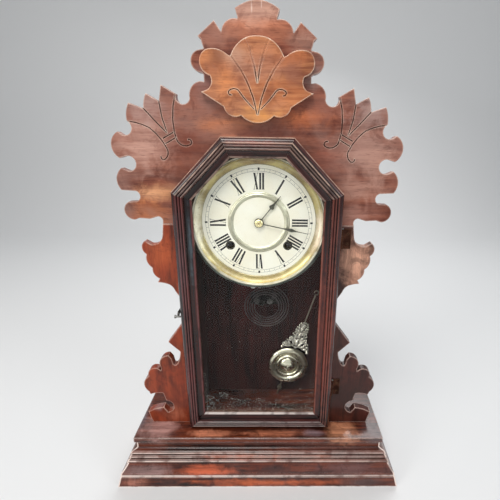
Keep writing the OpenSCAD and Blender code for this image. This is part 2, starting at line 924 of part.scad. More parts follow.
// Lantern pinion: wires between two caps, one wire on the bearing given
module lantern(at, wheel, count, wire_at, front, length) {
    r = pinion_r(wheel, count);
    wire_r = 0.2 * PI * wheel[1];
    for (i = [0:count - 1]) {
        a = wire_at + 360 * i / count;
        rod_y(at.x + r * cos(a), at.y + r * sin(a), front, length, wire_r);
    }
    for (y = [front - cap_t, front + length])
        rod_y(at.x, at.y, y, cap_t, r + wire_r + 0.25);
}

// Plate outline about the dial's centre, with round windows and a hole for each pivot
plate_half = trace([
    [0, 66, 0], [11, 66, 0.4], [14, 62, 0], [14, 50, -0.3], [18, 47, 0], [50, 47, 0.2], [52, 44, 0],
    [62, 10, 0], [62, -58, 0.4], [60, -60, 0], [0, -60]
]);
plate_windows = [[46, 12, 7], [8, -28, 5]];
pillar_offsets = [[56, -54], [46, 41], [-46, 41], [-56, -54]];
pillar_r = 2.6;
thin_arbors = [second_at, fourth_at, lifting_at, fly_at, hammer_at, escape_at];

module plate(front, winding_pivot) {
    difference() {
        slab([for (p = concat(plate_half, flipped(plate_half))) centre_at + p], front, plate_t);
        for (at = thin_arbors)
            arbor(at, arbor_r + run, front - slack, front + plate_t + slack);
        for (at = [time_at, strike_at])
            arbor(at, winding_pivot + run, front - slack, front + plate_t + slack);
        arbor(centre_at, centre_r + run, front - slack, front + plate_t + slack);
        for (window = plate_windows, side = [-1, 1]) {
            at = centre_at + [side * window.x, window.y];
            arbor(at, window[2], front - slack, front + plate_t + slack);
        }
    }
}

module front_plate() {
    color(brass) on_base() {
        plate(plate_front, winding_r);
        // stud of the minute wheel, stud of the verge, and the post of the pendulum's spring
        arbor(motion_at, 1, minute_wheel_y - 3.5, plate_front);
        arbor(verge_at, 1, plate_front - 4.8, plate_front);
        arbor(spring_at, 2.2, leader_y - 1.2, plate_front);
    }
}

module back_plate() {
    color(brass) on_base()
        plate(plate_out, back_pivot_r);
}

// Pillars between the plates, and the posts that stand the movement off the backboard
module plate_pillars() {
    color(steel) on_base()
        for (p = pillar_offsets) {
            arbor(centre_at + p, pillar_r, plate_in, plate_out);
            arbor(centre_at + p, pillar_r, plate_out + plate_t, back_y);
        }
}

// Centre arbor, with the cannon pinion that drives the motion work
module centre_arbor() {
    cannon_y = minute_wheel_y - 0.6;
    color(steel) on_base() {
        arbor(centre_at, centre_r, minute_y - 1.5, pivot_back);
        lantern(centre_at, motion_minute, cannon_count, bearing(centre_at, motion_at), cannon_y, 1.8);
        arbor(centre_at, centre_r * 1.7, cannon_y - cap_t, plate_front - still);
    }
}

module hour_wheel() {
    wheel_back = hour_wheel_y + wheel_t;
    color(brass) on_base()
        difference() {
            union() {
                toothed(centre_at, motion_hour, bearing(centre_at, motion_at), hour_wheel_y, wheel_t, 5);
                arbor(centre_at, pipe_r, hour_y + hand_t, wheel_back);
                arbor(centre_at, sleeve_r, hour_y, wheel_back);
            }
            arbor(centre_at, centre_r + run, hour_y - slack, wheel_back + slack);
        }
}

module minute_wheel() {
    color(brass) on_base()
        difference() {
            union() {
                toothed(motion_at, motion_minute, bearing(motion_at, centre_at),
                    minute_wheel_y, wheel_t, 0);
                lantern(motion_at, motion_hour, motion_count, bearing(motion_at, centre_at),
                    minute_wheel_y - cap_t - 2.2, 2.2);
            }
            arbor(motion_at, 1 + run, minute_wheel_y - 5, plate_front);
        }
}

// Winding arbor: squared front end, and a ratchet behind the great wheel
ratchet_r = 9;
ratchet_step = 1.8;
ratchet_teeth = 16;
module winding_arbor(at) {
    square_len = 4;
    square_root = 0.5;
    arbor(at, winding_r, square_y + square_len, ratchet_y + ratchet_t);
    arbor(at, back_pivot_r, ratchet_y, pivot_back);
    translate([at.x, square_y + square_len + square_root, at.y])
        rotate([90, 45, 0])
            cylinder(h = square_len + square_root, r = winding_r - 0.2, $fn = 4);
    facing(at, ratchet_y, ratchet_t)
        polygon([for (i = [0:ratchet_teeth - 1], root = [0, 1])
            let (a = (i + 0.15 * root) * 360 / ratchet_teeth)
            (ratchet_r - ratchet_step * root) * [cos(a), sin(a)]]);
}

module time_winding_arbor() {
    color(steel) on_base()
        winding_arbor(time_at);
}

module strike_winding_arbor() {
    color(steel) on_base()
        winding_arbor(strike_at);
}

// Great wheel, loose on its winding arbor, with the click riveted to its back
module great_wheel(at, next) {
    click = [[0.5, -2], [0.4, 1.5], [8, 3], [9, 0], [7, -2.6]];
    difference() {
        union() {
            toothed(at, great, bearing(at, next), great_y, great_t, 5);
            slab([for (p = click) at + [ratchet_r + p.x, p.y]], great_y + great_t / 2, great_t);
        }
        arbor(at, winding_r + run, great_y - slack, great_y + great_t + slack);
    }
}

module time_great_wheel() {
    color(brass) on_base()
        great_wheel(time_at, second_at);
}

module strike_great_wheel() {
    color(brass) on_base()
        great_wheel(strike_at, lifting_at);
}

// Mainsprings: one flat strip each, wound about the arbor
spring_turns = 7;
spring_t = 0.7;
spring_in = back_pivot_r + 0.6;
spring_out = 24.5;
function spiral(offset) =
    [for (a = [0:22.5:360 * spring_turns])
        let (r = spring_in + offset + (spring_out - spring_in - spring_t) * a / 360 / spring_turns)
        r * [cos(a), sin(a)]];

module mainsprings() {
    strip = concat(spiral(0), reversed(spiral(spring_t)));
    color(steel) on_base() {
        facing(time_at, spring_y, spring_w)
            polygon(strip);
        facing(strike_at, spring_y, spring_w)
            polygon([for (p = strip) left(p)]);
    }
}

module second_wheel() {
    color(brass) on_base() {
        arbor(second_at, arbor_r, pivot_front, pivot_back);
        lantern(second_at, great, trundles, bearing(second_at, time_at), great_y - 0.2, great_t + 0.4);
        toothed(second_at, second, bearing(second_at, centre_at), second_y, wheel_t, 5);
    }
}

// Centre wheel, held to the centre arbor by a friction spring so that the hands can be set
module centre_wheel() {
    color(brass) on_base()
        difference() {
            union() {
                toothed(centre_at, third, bearing(centre_at, fourth_at), third_y, wheel_t, 5);
                lantern(centre_at, second, trundles, bearing(centre_at, second_at), second_y - 0.4,
                    wheel_t + 0.8);
                arbor(centre_at, centre_r * 1.5, second_y - 1, third_y + wheel_t);
            }
            arbor(centre_at, centre_r + run, second_y - 2, plate_out);
        }
}

module fourth_wheel() {
    color(brass) on_base() {
        arbor(fourth_at, arbor_r, pivot_front, pivot_back);
        lantern(fourth_at, third, trundles, bearing(fourth_at, centre_at), third_y - 0.4, wheel_t + 0.8);
        toothed(fourth_at, fourth, bearing(fourth_at, escape_at), fourth_y, wheel_t, 5);
    }
}

// Escape wheel, outside the front plate, with raked teeth as [turn, drop] corners
escape_teeth = 32;
escape_r = 12.4;
escape_t = 0.8;
escape_drop = 1.7;
escape_tooth = [[0, 0], [0.12, 0], [0.45, 1], [0.95, 1]];
module escape_wheel() {
    color(brass) on_base() {
        arbor(escape_at, arbor_r, escape_y - 0.2, pivot_back);
        lantern(escape_at, fourth, trundles, bearing(escape_at, fourth_at), fourth_y - 0.4, wheel_t + 0.8);
        facing(escape_at, escape_y, escape_t)
            difference() {
                polygon([for (i = [0:escape_teeth - 1], p = escape_tooth)
                    let (a = (i + p.x) * 360 / escape_teeth)
                    (escape_r - escape_drop * p.y) * [cos(a), sin(a)]]);
                for (i = [0:3])
                    rotate(90 * i)
                        translate([escape_r / 2, 0])
                            circle(r = escape_r / 5);
            }
    }
}

// Verge: a bent strip with two pallets on a saddle, and the crutch wire that pushes the pendulum's leader
leader_r = 0.7;
fork_rise = 14;
module verge() {
    strap_y = plate_front - 2.4;
    saddle_y = plate_front - 4.8;
    wire_r = 0.6;
    wire_y = saddle_y + wire_r + 0.1;
    half = trace([
        [0, 2.6, 0.1], [9.2, -0.4, 0.2], [10.9, -6.2, 0], [9.8, -5.4, 0], [7.6, -1.2, -0.1], [0, 0.6]
    ]);
    fork_z = centre_at.y + fork_rise;
    color(steel) on_base()
        difference() {
            union() {
                slab([for (p = concat(half, flipped(half))) verge_at + p], strap_y, 1);
                arbor(verge_at, 2.2, saddle_y, plate_front - 1);
                translate([0, wire_y, fork_z])
                    cylinder(h = verge_at.y - fork_z - 1, r = wire_r);
                translate([-wire_r, leader_y + leader_r, fork_z])
                    cube([2 * wire_r, wire_y - leader_y, 2 * wire_r]);
                translate([0, leader_y, fork_z])
                    cylinder(h = 2 * wire_r, r = leader_r + 2 * wire_r);
            }
            arbor(verge_at, 1 + run, saddle_y - slack, plate_front + slack);
            translate([0, leader_y, fork_z - slack])
                cylinder(h = 2 * wire_r + 2 * slack, r = leader_r + still);
        }
}

// Leader: a strip spring under its post, then a wire with a ring round the hour pipe and a hook at the foot
leader_drop = 78;
leader_ring_r = 8;
leader_hook_r = 2.6;
module leader_wire(top, bottom) {
    translate([0, leader_y, centre_at.y + bottom])
        cylinder(h = top - bottom, r = leader_r);
}

// A round wire bent about the y axis, from straight up towards the left
module turned_wire(radius, wire, sweep) {
    rotate([90, -90, 0])
        rotate_extrude(angle = sweep)
            translate([radius, 0])
                circle(r = wire, $fn = 24);
}

module pendulum_leader() {
    strip = [3.2, 0.3, 14];
    top = spring_at.y - centre_at.y - 2.2 - still;
    color(steel) on_base() {
        translate([-strip.x / 2, leader_y - strip.y / 2, centre_at.y + top - strip.z])
            cube(strip);
        leader_wire(top - strip.z + slack, leader_ring_r);
        translate([0, leader_y, centre_at.y])
            turned_wire(leader_ring_r, leader_r, 360);
        leader_wire(-leader_ring_r, -leader_drop);
        translate([0, leader_y, centre_at.y - leader_drop - leader_hook_r])
            turned_wire(leader_hook_r, leader_r, 250);
    }
}

// Hammer wheel with its lifting pins, and the fly that slows the strike
lifting_pins = 6;
lifting_pin_r = 10.6;
module hammer_wheel() {
    color(brass) on_base() {
        arbor(lifting_at, arbor_r, pivot_front, pivot_back);
        lantern(lifting_at, great, trundles, bearing(lifting_at, strike_at), great_y - 0.2, great_t + 0.4);
        toothed(lifting_at, lifting, bearing(lifting_at, fly_at), second_y, wheel_t, 5);
        for (i = [1:lifting_pins]) {
            a = 360 * (i + 0.5) / lifting_pins;
            arbor(lifting_at + lifting_pin_r * [cos(a), sin(a)], 0.6, second_y - 1, second_y + wheel_t);
        }
    }
}

module fly() {
    vane = [18, plate_gap - 14, 0.6];
    vane_y = plate_in + 5;
    color(steel) on_base() {
        arbor(fly_at, arbor_r, pivot_front, pivot_back);
        arbor(fly_at, 1.5, vane_y, vane_y + vane.y);
        lantern(fly_at, lifting, trundles, bearing(fly_at, lifting_at), second_y - 0.4, wheel_t + 0.8);
        translate([fly_at.x - vane.x / 2, vane_y, fly_at.y - vane.z / 2])
            cube(vane);
    }
}

// Gong: a wound wire whose inner end bends into an iron base on the backboard
gong_at = [7, base_h + gong_rise];
gong_y = back_y - 16;
gong_turns = 4.75;
gong_start = 157;
gong_bend = 4;
gong_tail = 5;
gong_sides = 6;
gong_ring_step = 15;
gong_wire_r = gong_wire_d / 2;
gong_in = gong_r - gong_wire_r - gong_pitch * gong_turns;
inward = -[cos(gong_start), sin(gong_start)];
backward = [sin(gong_start), -cos(gong_start)];
bend_at = (gong_bend - gong_in) * inward;
function gong_point(a) = (gong_in + gong_pitch * a / 360) * [cos(gong_start + a), sin(gong_start + a)];
gong_path = concat(
    [bend_at + backward * gong_bend + inward * gong_tail],
    [for (a = [90:-22.5:22.5]) bend_at - inward * gong_bend * cos(a) + backward * gong_bend * sin(a)],
    [for (a = [0:gong_ring_step:360 * gong_turns]) gong_point(a)]
);
gong_last = len(gong_path) - 1;
gong_gap = min([for (i = [0:gong_last - 7], j = [i + 7:gong_last]) norm(gong_path[i] - gong_path[j])])
    - gong_wire_d;
echo(gong_gap = gong_gap);

// Tube of flat sides along a path in x and z, its y axis thickness and width both twice r
function ring(path, i, r, sides) =
    let (across = -side_of(path, i))
    [for (k = [0:sides - 1])
        let (swing = r * cos(360 * k / sides) * across)
        [path[i].x + swing.x, r * sin(360 * k / sides), path[i].y + swing.y]];

module tube(path, r, sides) {
    rings = len(path);
    last = (rings - 1) * sides;
    polyhedron(
        points = [for (i = [0:rings - 1]) each ring(path, i, r, sides)],
        faces = concat(
            [for (i = [0:rings - 2], k = [0:sides - 1])
                let (a = i * sides + k)
                let (b = i * sides + (k + 1) % sides)
                each [[a, a + sides, b], [b, a + sides, b + sides]]],
            [for (k = [1:sides - 2]) [0, k, k + 1]],
            [for (k = [1:sides - 2]) [last, last + k + 1, last + k]]
        )
    );
}

module gong_coil() {
    color(steel) on_base()
        translate([gong_at.x, gong_y, gong_at.y])
            tube(gong_path, gong_wire_r, gong_sides);
}

module gong_base() {
    foot = [44, 3, 18];
    block = [7, back_y - gong_y + 3.2, 8];
    block_end = 2;
    boss_len = 4;
    boss_r = 4.5;
    held = gong_at + gong_path[0];
    color(black) on_base()
        difference() {
            union() {
                translate([gong_at.x - foot.x / 2, back_y - foot.y, held.y - foot.z / 2])
                    cube(foot);
                translate([held.x, back_y, held.y])
                    rotate([0, -bearing([0, 0], inward), 0])
                        translate([-block.x + block_end, -block.y, -block.z / 2])
                            cube(block);
                rod_y(gong_at.x + foot.x * 0.3, held.y, back_y - foot.y - boss_len, boss_len, boss_r);
            }
            // the wire's hole
            translate([held.x, gong_y, held.y])
                rotate([0, -90 - bearing([0, 0], inward), 0])
                    translate([0, 0, -0.1])
                        cylinder(h = block.x * 2, r = gong_wire_r + 0.1);
        }
}

// Hammer on its arbor, with the tail that the pins lift and a wire arm to the head above the gong
hammer_head_r = 3.5;
hammer_bearing = 118;
strike_gap = 0.8;
hammer_reach = gong_r + hammer_head_r + strike_gap;
hammer_head_at = gong_at + hammer_reach * [cos(hammer_bearing), sin(hammer_bearing)];
function towards(at, to) = [0, 90 - bearing(at, to), 0];

module hammer_rod(to, y, r, from, length) {
    translate([hammer_at.x, y, hammer_at.y])
        rotate(towards(hammer_at, to))
            translate([0, 0, from])
                cylinder(h = length, r = r);
}

module strike_hammer() {
    arm_len = norm(hammer_head_at - hammer_at);
    tail_y = second_y - 1.2;
    tail_to = lifting_at + [2.2, -lifting_pin_r - 1.4];
    color(steel) on_base() {
        arbor(hammer_at, arbor_r, pivot_front, pivot_back);
        arbor(hammer_at, 2, tail_y - 0.6, plate_out - 1);
        hammer_rod(hammer_head_at, plate_out - 2, 0.9, 0, arm_len);
        hammer_rod(tail_to, tail_y, 0.5, 0, norm(tail_to - hammer_at));
        arbor(hammer_head_at, hammer_head_r, gong_y - 5, gong_y + 5);
    }
}

// Pendulum, unhooked from the leader and leaning in the corner of the case with its foot on the base
pendulum_y = fret_t + 48;
pendulum_rod_r = 1.1;
pendulum_hook_r = 3;
hook_span = pendulum_hook_r + pendulum_rod_r;
pendulum_lean = asin((side_corner(case_in).x - still - hook_span - pendulum_x) / pendulum_len);
bob_rise = 53;
bob_t = 9;
nut_rise = 10;

module leaning() {
    translate([pendulum_x, pendulum_y, base_h + still])
        rotate([0, pendulum_lean, 0])
            translate([0, 0, pendulum_rod_r * sin(pendulum_lean)])
                children();
}

module pendulum_rod() {
    color(brass) on_base()
        leaning() {
            cylinder(h = pendulum_len - 2 * pendulum_hook_r, r = pendulum_rod_r);
            translate([0, 0, nut_rise])
                cylinder(h = 4, r = pendulum_rod_r * 3);
            translate([0, 0, pendulum_len - pendulum_hook_r])
                rotate([0, 180, 0])
                    turned_wire(pendulum_hook_r, pendulum_rod_r * 0.8, 290);
        }
}

// Bob: pressed rings round a low dome
module pendulum_bob() {
    r = bob_d / 2;
    section = trace([
        [0, -bob_t / 2, 0], [r - 5, -bob_t / 2, -0.15], [r, -0.8, 0], [r, 0.6, -0.4],
        [r - 1.8, 1.2, 0.3], [r - 4, 1, -0.4], [r - 6.5, 1.5, 0.3], [r - 9, 1.3, -0.4],
        [r - 11.5, 2.1, 0.3], [r - 13, 1.9, -0.12], [0, bob_t / 2]
    ]);
    color(brass) on_base()
        leaning()
            difference() {
                translate([0, 0, bob_rise])
                    rotate([90, 0, 0])
                        rotate_extrude($fn = 72)
                            polygon(section);
                cylinder(h = pendulum_len, r = pendulum_rod_r + run);
            }
}

// Openwork ornament above the bob
module pendulum_ornament() {
    rise = 84;
    half = trace([
        [0, 43, 0.2], [3.4, 40, -0.2], [2.8, 33, 0.5], [8.2, 29, -0.3], [7.4, 19, 0.5], [13.6, 16, -0.3],
        [13.8, 8, 0.6], [20, 3.4, 0.5], [17, 0, 0.1], [6, 3.6, -0.2], [0, 1.4]
    ]);
    color(brass) on_base()
        leaning()
            difference() {
                translate([0, 0, rise])
                    slab(concat(half, flipped(half)), -1.5, 3);
                for (side = [-1, 1]) {
                    rod_y(side * 8.6, rise + 9, -3, 6, 3.2);
                    rod_y(side * 4.6, rise + 22.6, -3, 6, 2);
                    rod_y(side * 15.8, rise + 3.8, -3, 6, 1.4);
                }
                cylinder(h = pendulum_len, r = pendulum_rod_r + run);
            }
}

base_board();
base_front_moulding();
base_left_moulding();
base_right_moulding();
base_back_rail();
case_left_side();
case_right_side();
case_slopes();
case_top();
backboard();
crest_board();
left_wing();
right_wing();
crest_ornament();
door_left_stile();
door_left_shoulder();
door_top_rail();
door_right_shoulder();
door_right_stile();
door_bottom_rail();
door_glass();
glazing_strips();
catch_pin();
case_hinge_leaves();
door_hinge_leaves();
hinge_pins();
latch_hook();
latch_screw();
dial_blocks();
dial_pan();
dial_paper();
dial_bezel();
hour_hand();
minute_hand();
hand_collet();
centre_arbor();
hour_wheel();
minute_wheel();
front_plate();
back_plate();
plate_pillars();
mainsprings();
time_winding_arbor();
time_great_wheel();
second_wheel();
centre_wheel();
fourth_wheel();
escape_wheel();
verge();
pendulum_leader();
strike_winding_arbor();
strike_great_wheel();
hammer_wheel();
fly();
strike_hammer();
gong_base();
gong_coil();
pendulum_rod();
pendulum_ornament();
pendulum_bob();
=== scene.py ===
import math

import bmesh
import bpy
import numpy as np
from mathutils import Matrix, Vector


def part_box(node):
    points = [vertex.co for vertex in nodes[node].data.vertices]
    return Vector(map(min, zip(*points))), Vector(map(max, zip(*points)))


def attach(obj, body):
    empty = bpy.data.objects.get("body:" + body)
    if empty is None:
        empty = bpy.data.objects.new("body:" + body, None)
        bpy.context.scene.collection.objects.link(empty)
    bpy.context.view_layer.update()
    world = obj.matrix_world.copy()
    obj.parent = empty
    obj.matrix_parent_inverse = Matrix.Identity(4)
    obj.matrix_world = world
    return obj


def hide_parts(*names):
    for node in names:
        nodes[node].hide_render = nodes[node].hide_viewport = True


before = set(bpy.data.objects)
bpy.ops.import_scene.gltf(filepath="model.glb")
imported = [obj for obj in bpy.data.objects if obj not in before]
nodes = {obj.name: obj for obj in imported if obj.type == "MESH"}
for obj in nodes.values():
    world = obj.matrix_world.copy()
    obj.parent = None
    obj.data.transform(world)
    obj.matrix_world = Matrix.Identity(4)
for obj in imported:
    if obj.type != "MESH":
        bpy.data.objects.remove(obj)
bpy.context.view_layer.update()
scene = bpy.context.scene
mm = 0.001


# Camera
# It stands where the photograph was taken from, level with the door's top edge and tilted down.
# Its place and lens were worked out from the dial's printed dots and the corners of the door and the base.
image_px = 500
focal_px = 345.7
principal_px = (282.5, 250.9)
camera_place = (0.0204, -0.3997, 0.4373)
pitch, yaw, roll = 0.3109, 0.0191, 0.0155

ahead = np.array([math.sin(yaw) * math.cos(pitch), math.cos(yaw) * math.cos(pitch), -math.sin(pitch)])
level = np.array([math.cos(yaw), -math.sin(yaw), 0])
upright = np.cross(level, ahead)
aside = math.cos(roll) * level + math.sin(roll) * upright
upward = math.cos(roll) * upright - math.sin(roll) * level
camera_data = bpy.data.cameras.new("camera")
camera_data.sensor_width = 36
camera_data.lens = focal_px / image_px * camera_data.sensor_width
camera_data.shift_x = (image_px / 2 - principal_px[0]) / image_px
camera_data.shift_y = (principal_px[1] - image_px / 2) / image_px
camera_data.clip_start = 0.02
camera = bpy.data.objects.new("camera", camera_data)
camera.matrix_world = Matrix.Translation(camera_place) @ Matrix(np.column_stack([aside, upward, -ahead])).to_4x4()
scene.collection.objects.link(camera)
scene.camera = camera
scene.view_settings.view_transform = "Standard"


# Studio
# A pale floor that sweeps up into the backdrop in one sheet, with soft lamps above and to both sides.
# The lamps and the world together light a surface that faces the camera at about its written colour.
def grid_faces(rows, columns, wrap_rows=False, wrap_columns=False):
    """Quads of a grid of points numbered row by row, joined round where a direction wraps."""
    row = np.arange(rows if wrap_rows else rows - 1)[:, None]
    column = np.arange(columns if wrap_columns else columns - 1)[None, :]
    next_row, next_column = (row + 1) % rows, (column + 1) % columns
    corners = [row * columns + column, next_row * columns + column,
               next_row * columns + next_column, row * columns + next_column]
    return np.stack(np.broadcast_arrays(*corners), -1).reshape(-1, 4).tolist()


def new_mesh(name, points, faces):
    """A mesh of the points of any grid, and of faces as lists of their numbers."""
    mesh = bpy.data.meshes.new(name)
    mesh.from_pydata(np.asarray(points).reshape(-1, 3).tolist(), [], faces)
    return mesh


def node(tree, kind, given=None, **settings):
    """A shader node of this kind: its settings set, and each input given a value or a socket to follow."""
    made = tree.nodes.new("ShaderNode" + kind)
    for name, value in settings.items():
        setattr(made, name, value)
    for name, value in (given or {}).items():
        if isinstance(value, bpy.types.NodeSocket):
            tree.links.new(value, made.inputs[name])
        else:
            made.inputs[name].default_value = value
    return made


def worked(tree, operation, first, second):
    """Value socket of a sum on two values."""
    return node(tree, "Math", {0: first, 1: second}, operation=operation).outputs[0]


def times(tree, first, second):
    """Value socket of the product of two values."""
    return worked(tree, "MULTIPLY", first, second)


def srgb(red, green, blue):
    """Linear colour of a screen colour from 0 to 255: a power of 2.4 above the toe, a line below it."""
    share = np.array([red, green, blue]) / 255
    return (*np.where(share > 0.04045, ((share + 0.055) / 1.055) ** 2.4, share / 12.92), 1.0)


def new_material(name):
    """A material and its empty node tree."""
    made = bpy.data.materials.new(name)
    made.use_nodes = True
    made.node_tree.nodes.clear()
    return made, made.node_tree


def surfaced(tree, given):
    """Joins a principled surface with these inputs to the material's output."""
    node(tree, "OutputMaterial", {"Surface": node(tree, "BsdfPrincipled", given).outputs[0]})


floor_half, floor_front, floor_back, cove_r, wall_top = 4.0, -3.0, 1.1, 0.7, 3.4
cove = np.radians(np.linspace(-90, 0, 24))
sweep_line = np.vstack([
    [[floor_front, 0]],
    np.stack([floor_back + cove_r * np.cos(cove), cove_r + cove_r * np.sin(cove)], -1),
    [[floor_back + cove_r, wall_top]],
])
sweep = np.stack([np.stack([np.full(len(sweep_line), x), *sweep_line.T], -1) for x in (-floor_half, floor_half)])
floor_mesh = new_mesh("studio_floor", sweep, grid_faces(*sweep.shape[:2]))
floor_mesh.shade_smooth()
studio_floor = bpy.data.objects.new("studio_floor", floor_mesh)
scene.collection.objects.link(studio_floor)
floor_paint, tree = new_material("floor_paint")
surfaced(tree, {"Base Color": srgb(230, 231, 232), "Roughness": 0.75})
floor_mesh.materials.append(floor_paint)

world = bpy.data.worlds.new("studio_air")
world.use_nodes = True
air = world.node_tree
background = air.nodes["Background"].inputs
background["Color"].default_value = (0.94, 0.97, 1.0, 1.0)
# what the camera sees past the floor, and sees mirrored or through glass, is as pale as the floor
world_light, world_seen = 0.24, 0.4
ray = node(air, "LightPath").outputs
seen = worked(air, "MAXIMUM", ray["Is Camera Ray"], worked(
    air, "MAXIMUM", ray["Is Glossy Ray"], ray["Is Transmission Ray"]))
air.links.new(worked(air, "ADD", times(air, seen, world_seen), world_light), background["Strength"])
scene.world = world

lamp_aim = np.array([0, 0, 0.3])
# name, place, size, watts, tint
for name, place, size, watts, tint in (
        ("lamp_over", (-0.25, -0.8, 1.6), 0.7, 15.4, (1.0, 0.98, 0.95)),
        ("lamp_left", (-1.5, -1.2, 0.8), 0.8, 12, (1.0, 0.97, 0.93)),
        ("lamp_right", (1.6, -1.0, 0.9), 0.7, 6.8, (0.94, 0.97, 1.0)),
        ("lamp_back", (0.3, 1.1, 1.5), 0.9, 12.5, (1.0, 1.0, 1.0))):
    lamp_data = bpy.data.lights.new(name, "AREA")
    lamp_data.shape, lamp_data.size, lamp_data.energy, lamp_data.color = "SQUARE", size, watts, tint
    # the lamp's axes are the line from its aim back to it, and two across that line
    back = np.array(place) - lamp_aim
    sideways = np.cross((0, 0, 1), back)
    back, sideways = back / np.linalg.norm(back), sideways / np.linalg.norm(sideways)
    turn = Matrix(np.column_stack([sideways, np.cross(back, sideways), back]))
    lamp = bpy.data.objects.new(name, lamp_data)
    lamp.matrix_world = Matrix.Translation(place) @ turn.to_4x4()
    scene.collection.objects.link(lamp)


# Base
# A planed walnut board on three mouldings that are mitred at the front corners, with a plain rail behind.
# The moulding is a cove under the board, three beads, a long ogee and a flat foot, its edges rubbed pale,
# with painted highlight lines along the beads and the step over the foot, and painted shadow under the board.
def traced(corners, step=6.0):
    """Corners joined into points, by a line after (a, b) and by an arc after (a, b, bulge).

    The bulge is the tangent of a quarter of the arc's angle and swells left of travel: the centre lies on the
    chord's bisector at (1 - bulge squared) / (4 bulge) chords, and the points turn evenly about it.
    """
    points = []
    for (a, b, *bulge), (c, d, *_) in zip(corners[:-1], corners[1:]):
        start, end = np.array([a, b], float), np.array([c, d], float)
        if not bulge:
            points.append(start[None])
            continue
        chord = end - start
        leftward = np.array([-chord[1], chord[0]])
        centre = (start + end) / 2 - leftward * (1 - bulge[0] ** 2) / (4 * bulge[0])
        turn = 4 * math.atan(bulge[0])
        count = max(2, math.ceil(abs(math.degrees(turn)) / step))
        angle = math.atan2(*(start - centre)[::-1]) - turn * np.arange(count) / count
        radius = np.linalg.norm(start - centre)
        points.append(centre + radius * np.stack([np.cos(angle), np.sin(angle)], -1))
    return np.vstack([*points, [corners[-1][:2]]])


def carried(profile, path, closed=False):
    """Grid of points (corner, profile point) of a profile carried along a path on its left.

    Each corner is moved along its mitre, the sum of the two sides' left normals over one plus their dot
    product, by the profile's first number, and the profile's second number is kept as the height.
    """
    path, profile = np.asarray(path, float), np.asarray(profile, float)
    side = np.roll(path, -1, 0) - path
    side /= np.linalg.norm(side, axis=1, keepdims=True) + 1e-12
    inward = np.stack([-side[:, 1], side[:, 0]], -1)
    if not closed:
        inward[-1] = inward[-2]
    before = np.roll(inward, 1, 0)
    if not closed:
        before[0] = inward[0]
    mitre = (inward + before) / np.maximum(1 + (inward * before).sum(1, keepdims=True), 0.25)
    flat = path[:, None, :] + profile[None, :, :1] * mitre[:, None, :]
    height = np.broadcast_to(profile[None, :, 1:], (len(path), len(profile), 1))
    return np.concatenate([flat, height], 2)


def softened(section, radius, step):
    """A closed section with its sharp outward corners rounded, and no side longer than the step.

    A corner Q that turns outwards by over 25 degrees becomes the curve (1 - t)^2 P + 2 t (1 - t) Q + t^2 R,
    where P and R lie on its two sides at the radius from it, or at 0.4 of the side if that is nearer.
    """
    before, after = section - np.roll(section, 1, 0), np.roll(section, -1, 0) - section
    turn = before[:, 0] * after[:, 1] - before[:, 1] * after[:, 0]
    turn = np.arctan2(turn, (before * after).sum(1))
    length_in, length_out = np.linalg.norm(before, axis=1), np.linalg.norm(after, axis=1)
    room = np.minimum(radius, 0.4 * np.minimum(length_in, length_out))
    reach = np.where(turn * np.sign(turn.sum()) > math.radians(25), room, 0)
    first = section - before / length_in[:, None] * reach[:, None]
    last = section + after / length_out[:, None] * reach[:, None]
    t = np.linspace(0, 1, 5)[None, :, None]
    curve = (1 - t) ** 2 * first[:, None] + 2 * t * (1 - t) * section[:, None] + t ** 2 * last[:, None]
    curve = curve.reshape(-1, 2)
    curve = curve[np.linalg.norm(curve - np.roll(curve, 1, 0), axis=1) > 1e-7]
    side = np.roll(curve, -1, 0) - curve
    count = np.ceil(np.linalg.norm(side, axis=1) / step).astype(int)
    share = (np.arange(count.sum()) - np.repeat(np.cumsum(count) - count, count)) / np.repeat(count, count)
    return np.repeat(curve, count, 0) + np.repeat(side, count, 0) * share[:, None]


def turning_share(section, reach):
    """How sharply a closed section turns near each point: up to 1 outwards, and down to -1 in a hollow.

    The turns within the reach are summed; the first 25 degrees either way count for nothing, 75 degrees for all.
    """
    side = np.roll(section, -1, 0) - section
    heading = np.arctan2(side[:, 1], side[:, 0])
    turn = (heading - np.roll(heading, 1) + np.pi) % (2 * np.pi) - np.pi
    turn *= np.sign(turn.sum())
    place = np.cumsum(np.linalg.norm(side, axis=1))
    around, place = place[-1], np.append(0, place[:-1])
    apart = np.abs(place[:, None] - place[None, :])
    near = np.minimum(apart, around - apart) <= reach
    total = np.degrees((near * turn[None, :]).sum(1))
    return np.sign(total) * np.clip((np.abs(total) - 25) / 50, 0, 1)


def cleaned(mesh, merge, flat=0.0):
    """Merges the mesh's doubles, and joins faces that lie within the flat angle or else turns all outwards."""
    shell = bmesh.new()
    shell.from_mesh(mesh)
    bmesh.ops.remove_doubles(shell, verts=shell.verts, dist=merge)
    if flat:
        bmesh.ops.dissolve_limit(shell, angle_limit=flat, verts=shell.verts, edges=shell.edges)
    else:
        bmesh.ops.recalc_face_normals(shell, faces=shell.faces)
    shell.to_mesh(mesh)
    shell.free()


def placed(mesh, body, finish, replaced, rounding=0.0):
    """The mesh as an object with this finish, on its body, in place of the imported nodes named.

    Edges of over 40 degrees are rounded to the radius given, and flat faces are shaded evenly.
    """
    mesh.materials.clear()
    mesh.materials.append(finish)
    made = bpy.data.objects.new(mesh.name, mesh)
    scene.collection.objects.link(made)
    if rounding:
        bevel = made.modifiers.new("rounded_edges", "BEVEL")
        bevel.width, bevel.segments = rounding, 3
        bevel.limit_method, bevel.angle_limit = "ANGLE", math.radians(40)
    made.modifiers.new("even_faces", "WEIGHTED_NORMAL").keep_sharp = True
    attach(made, body)
    if replaced:
        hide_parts(*replaced)
    return made


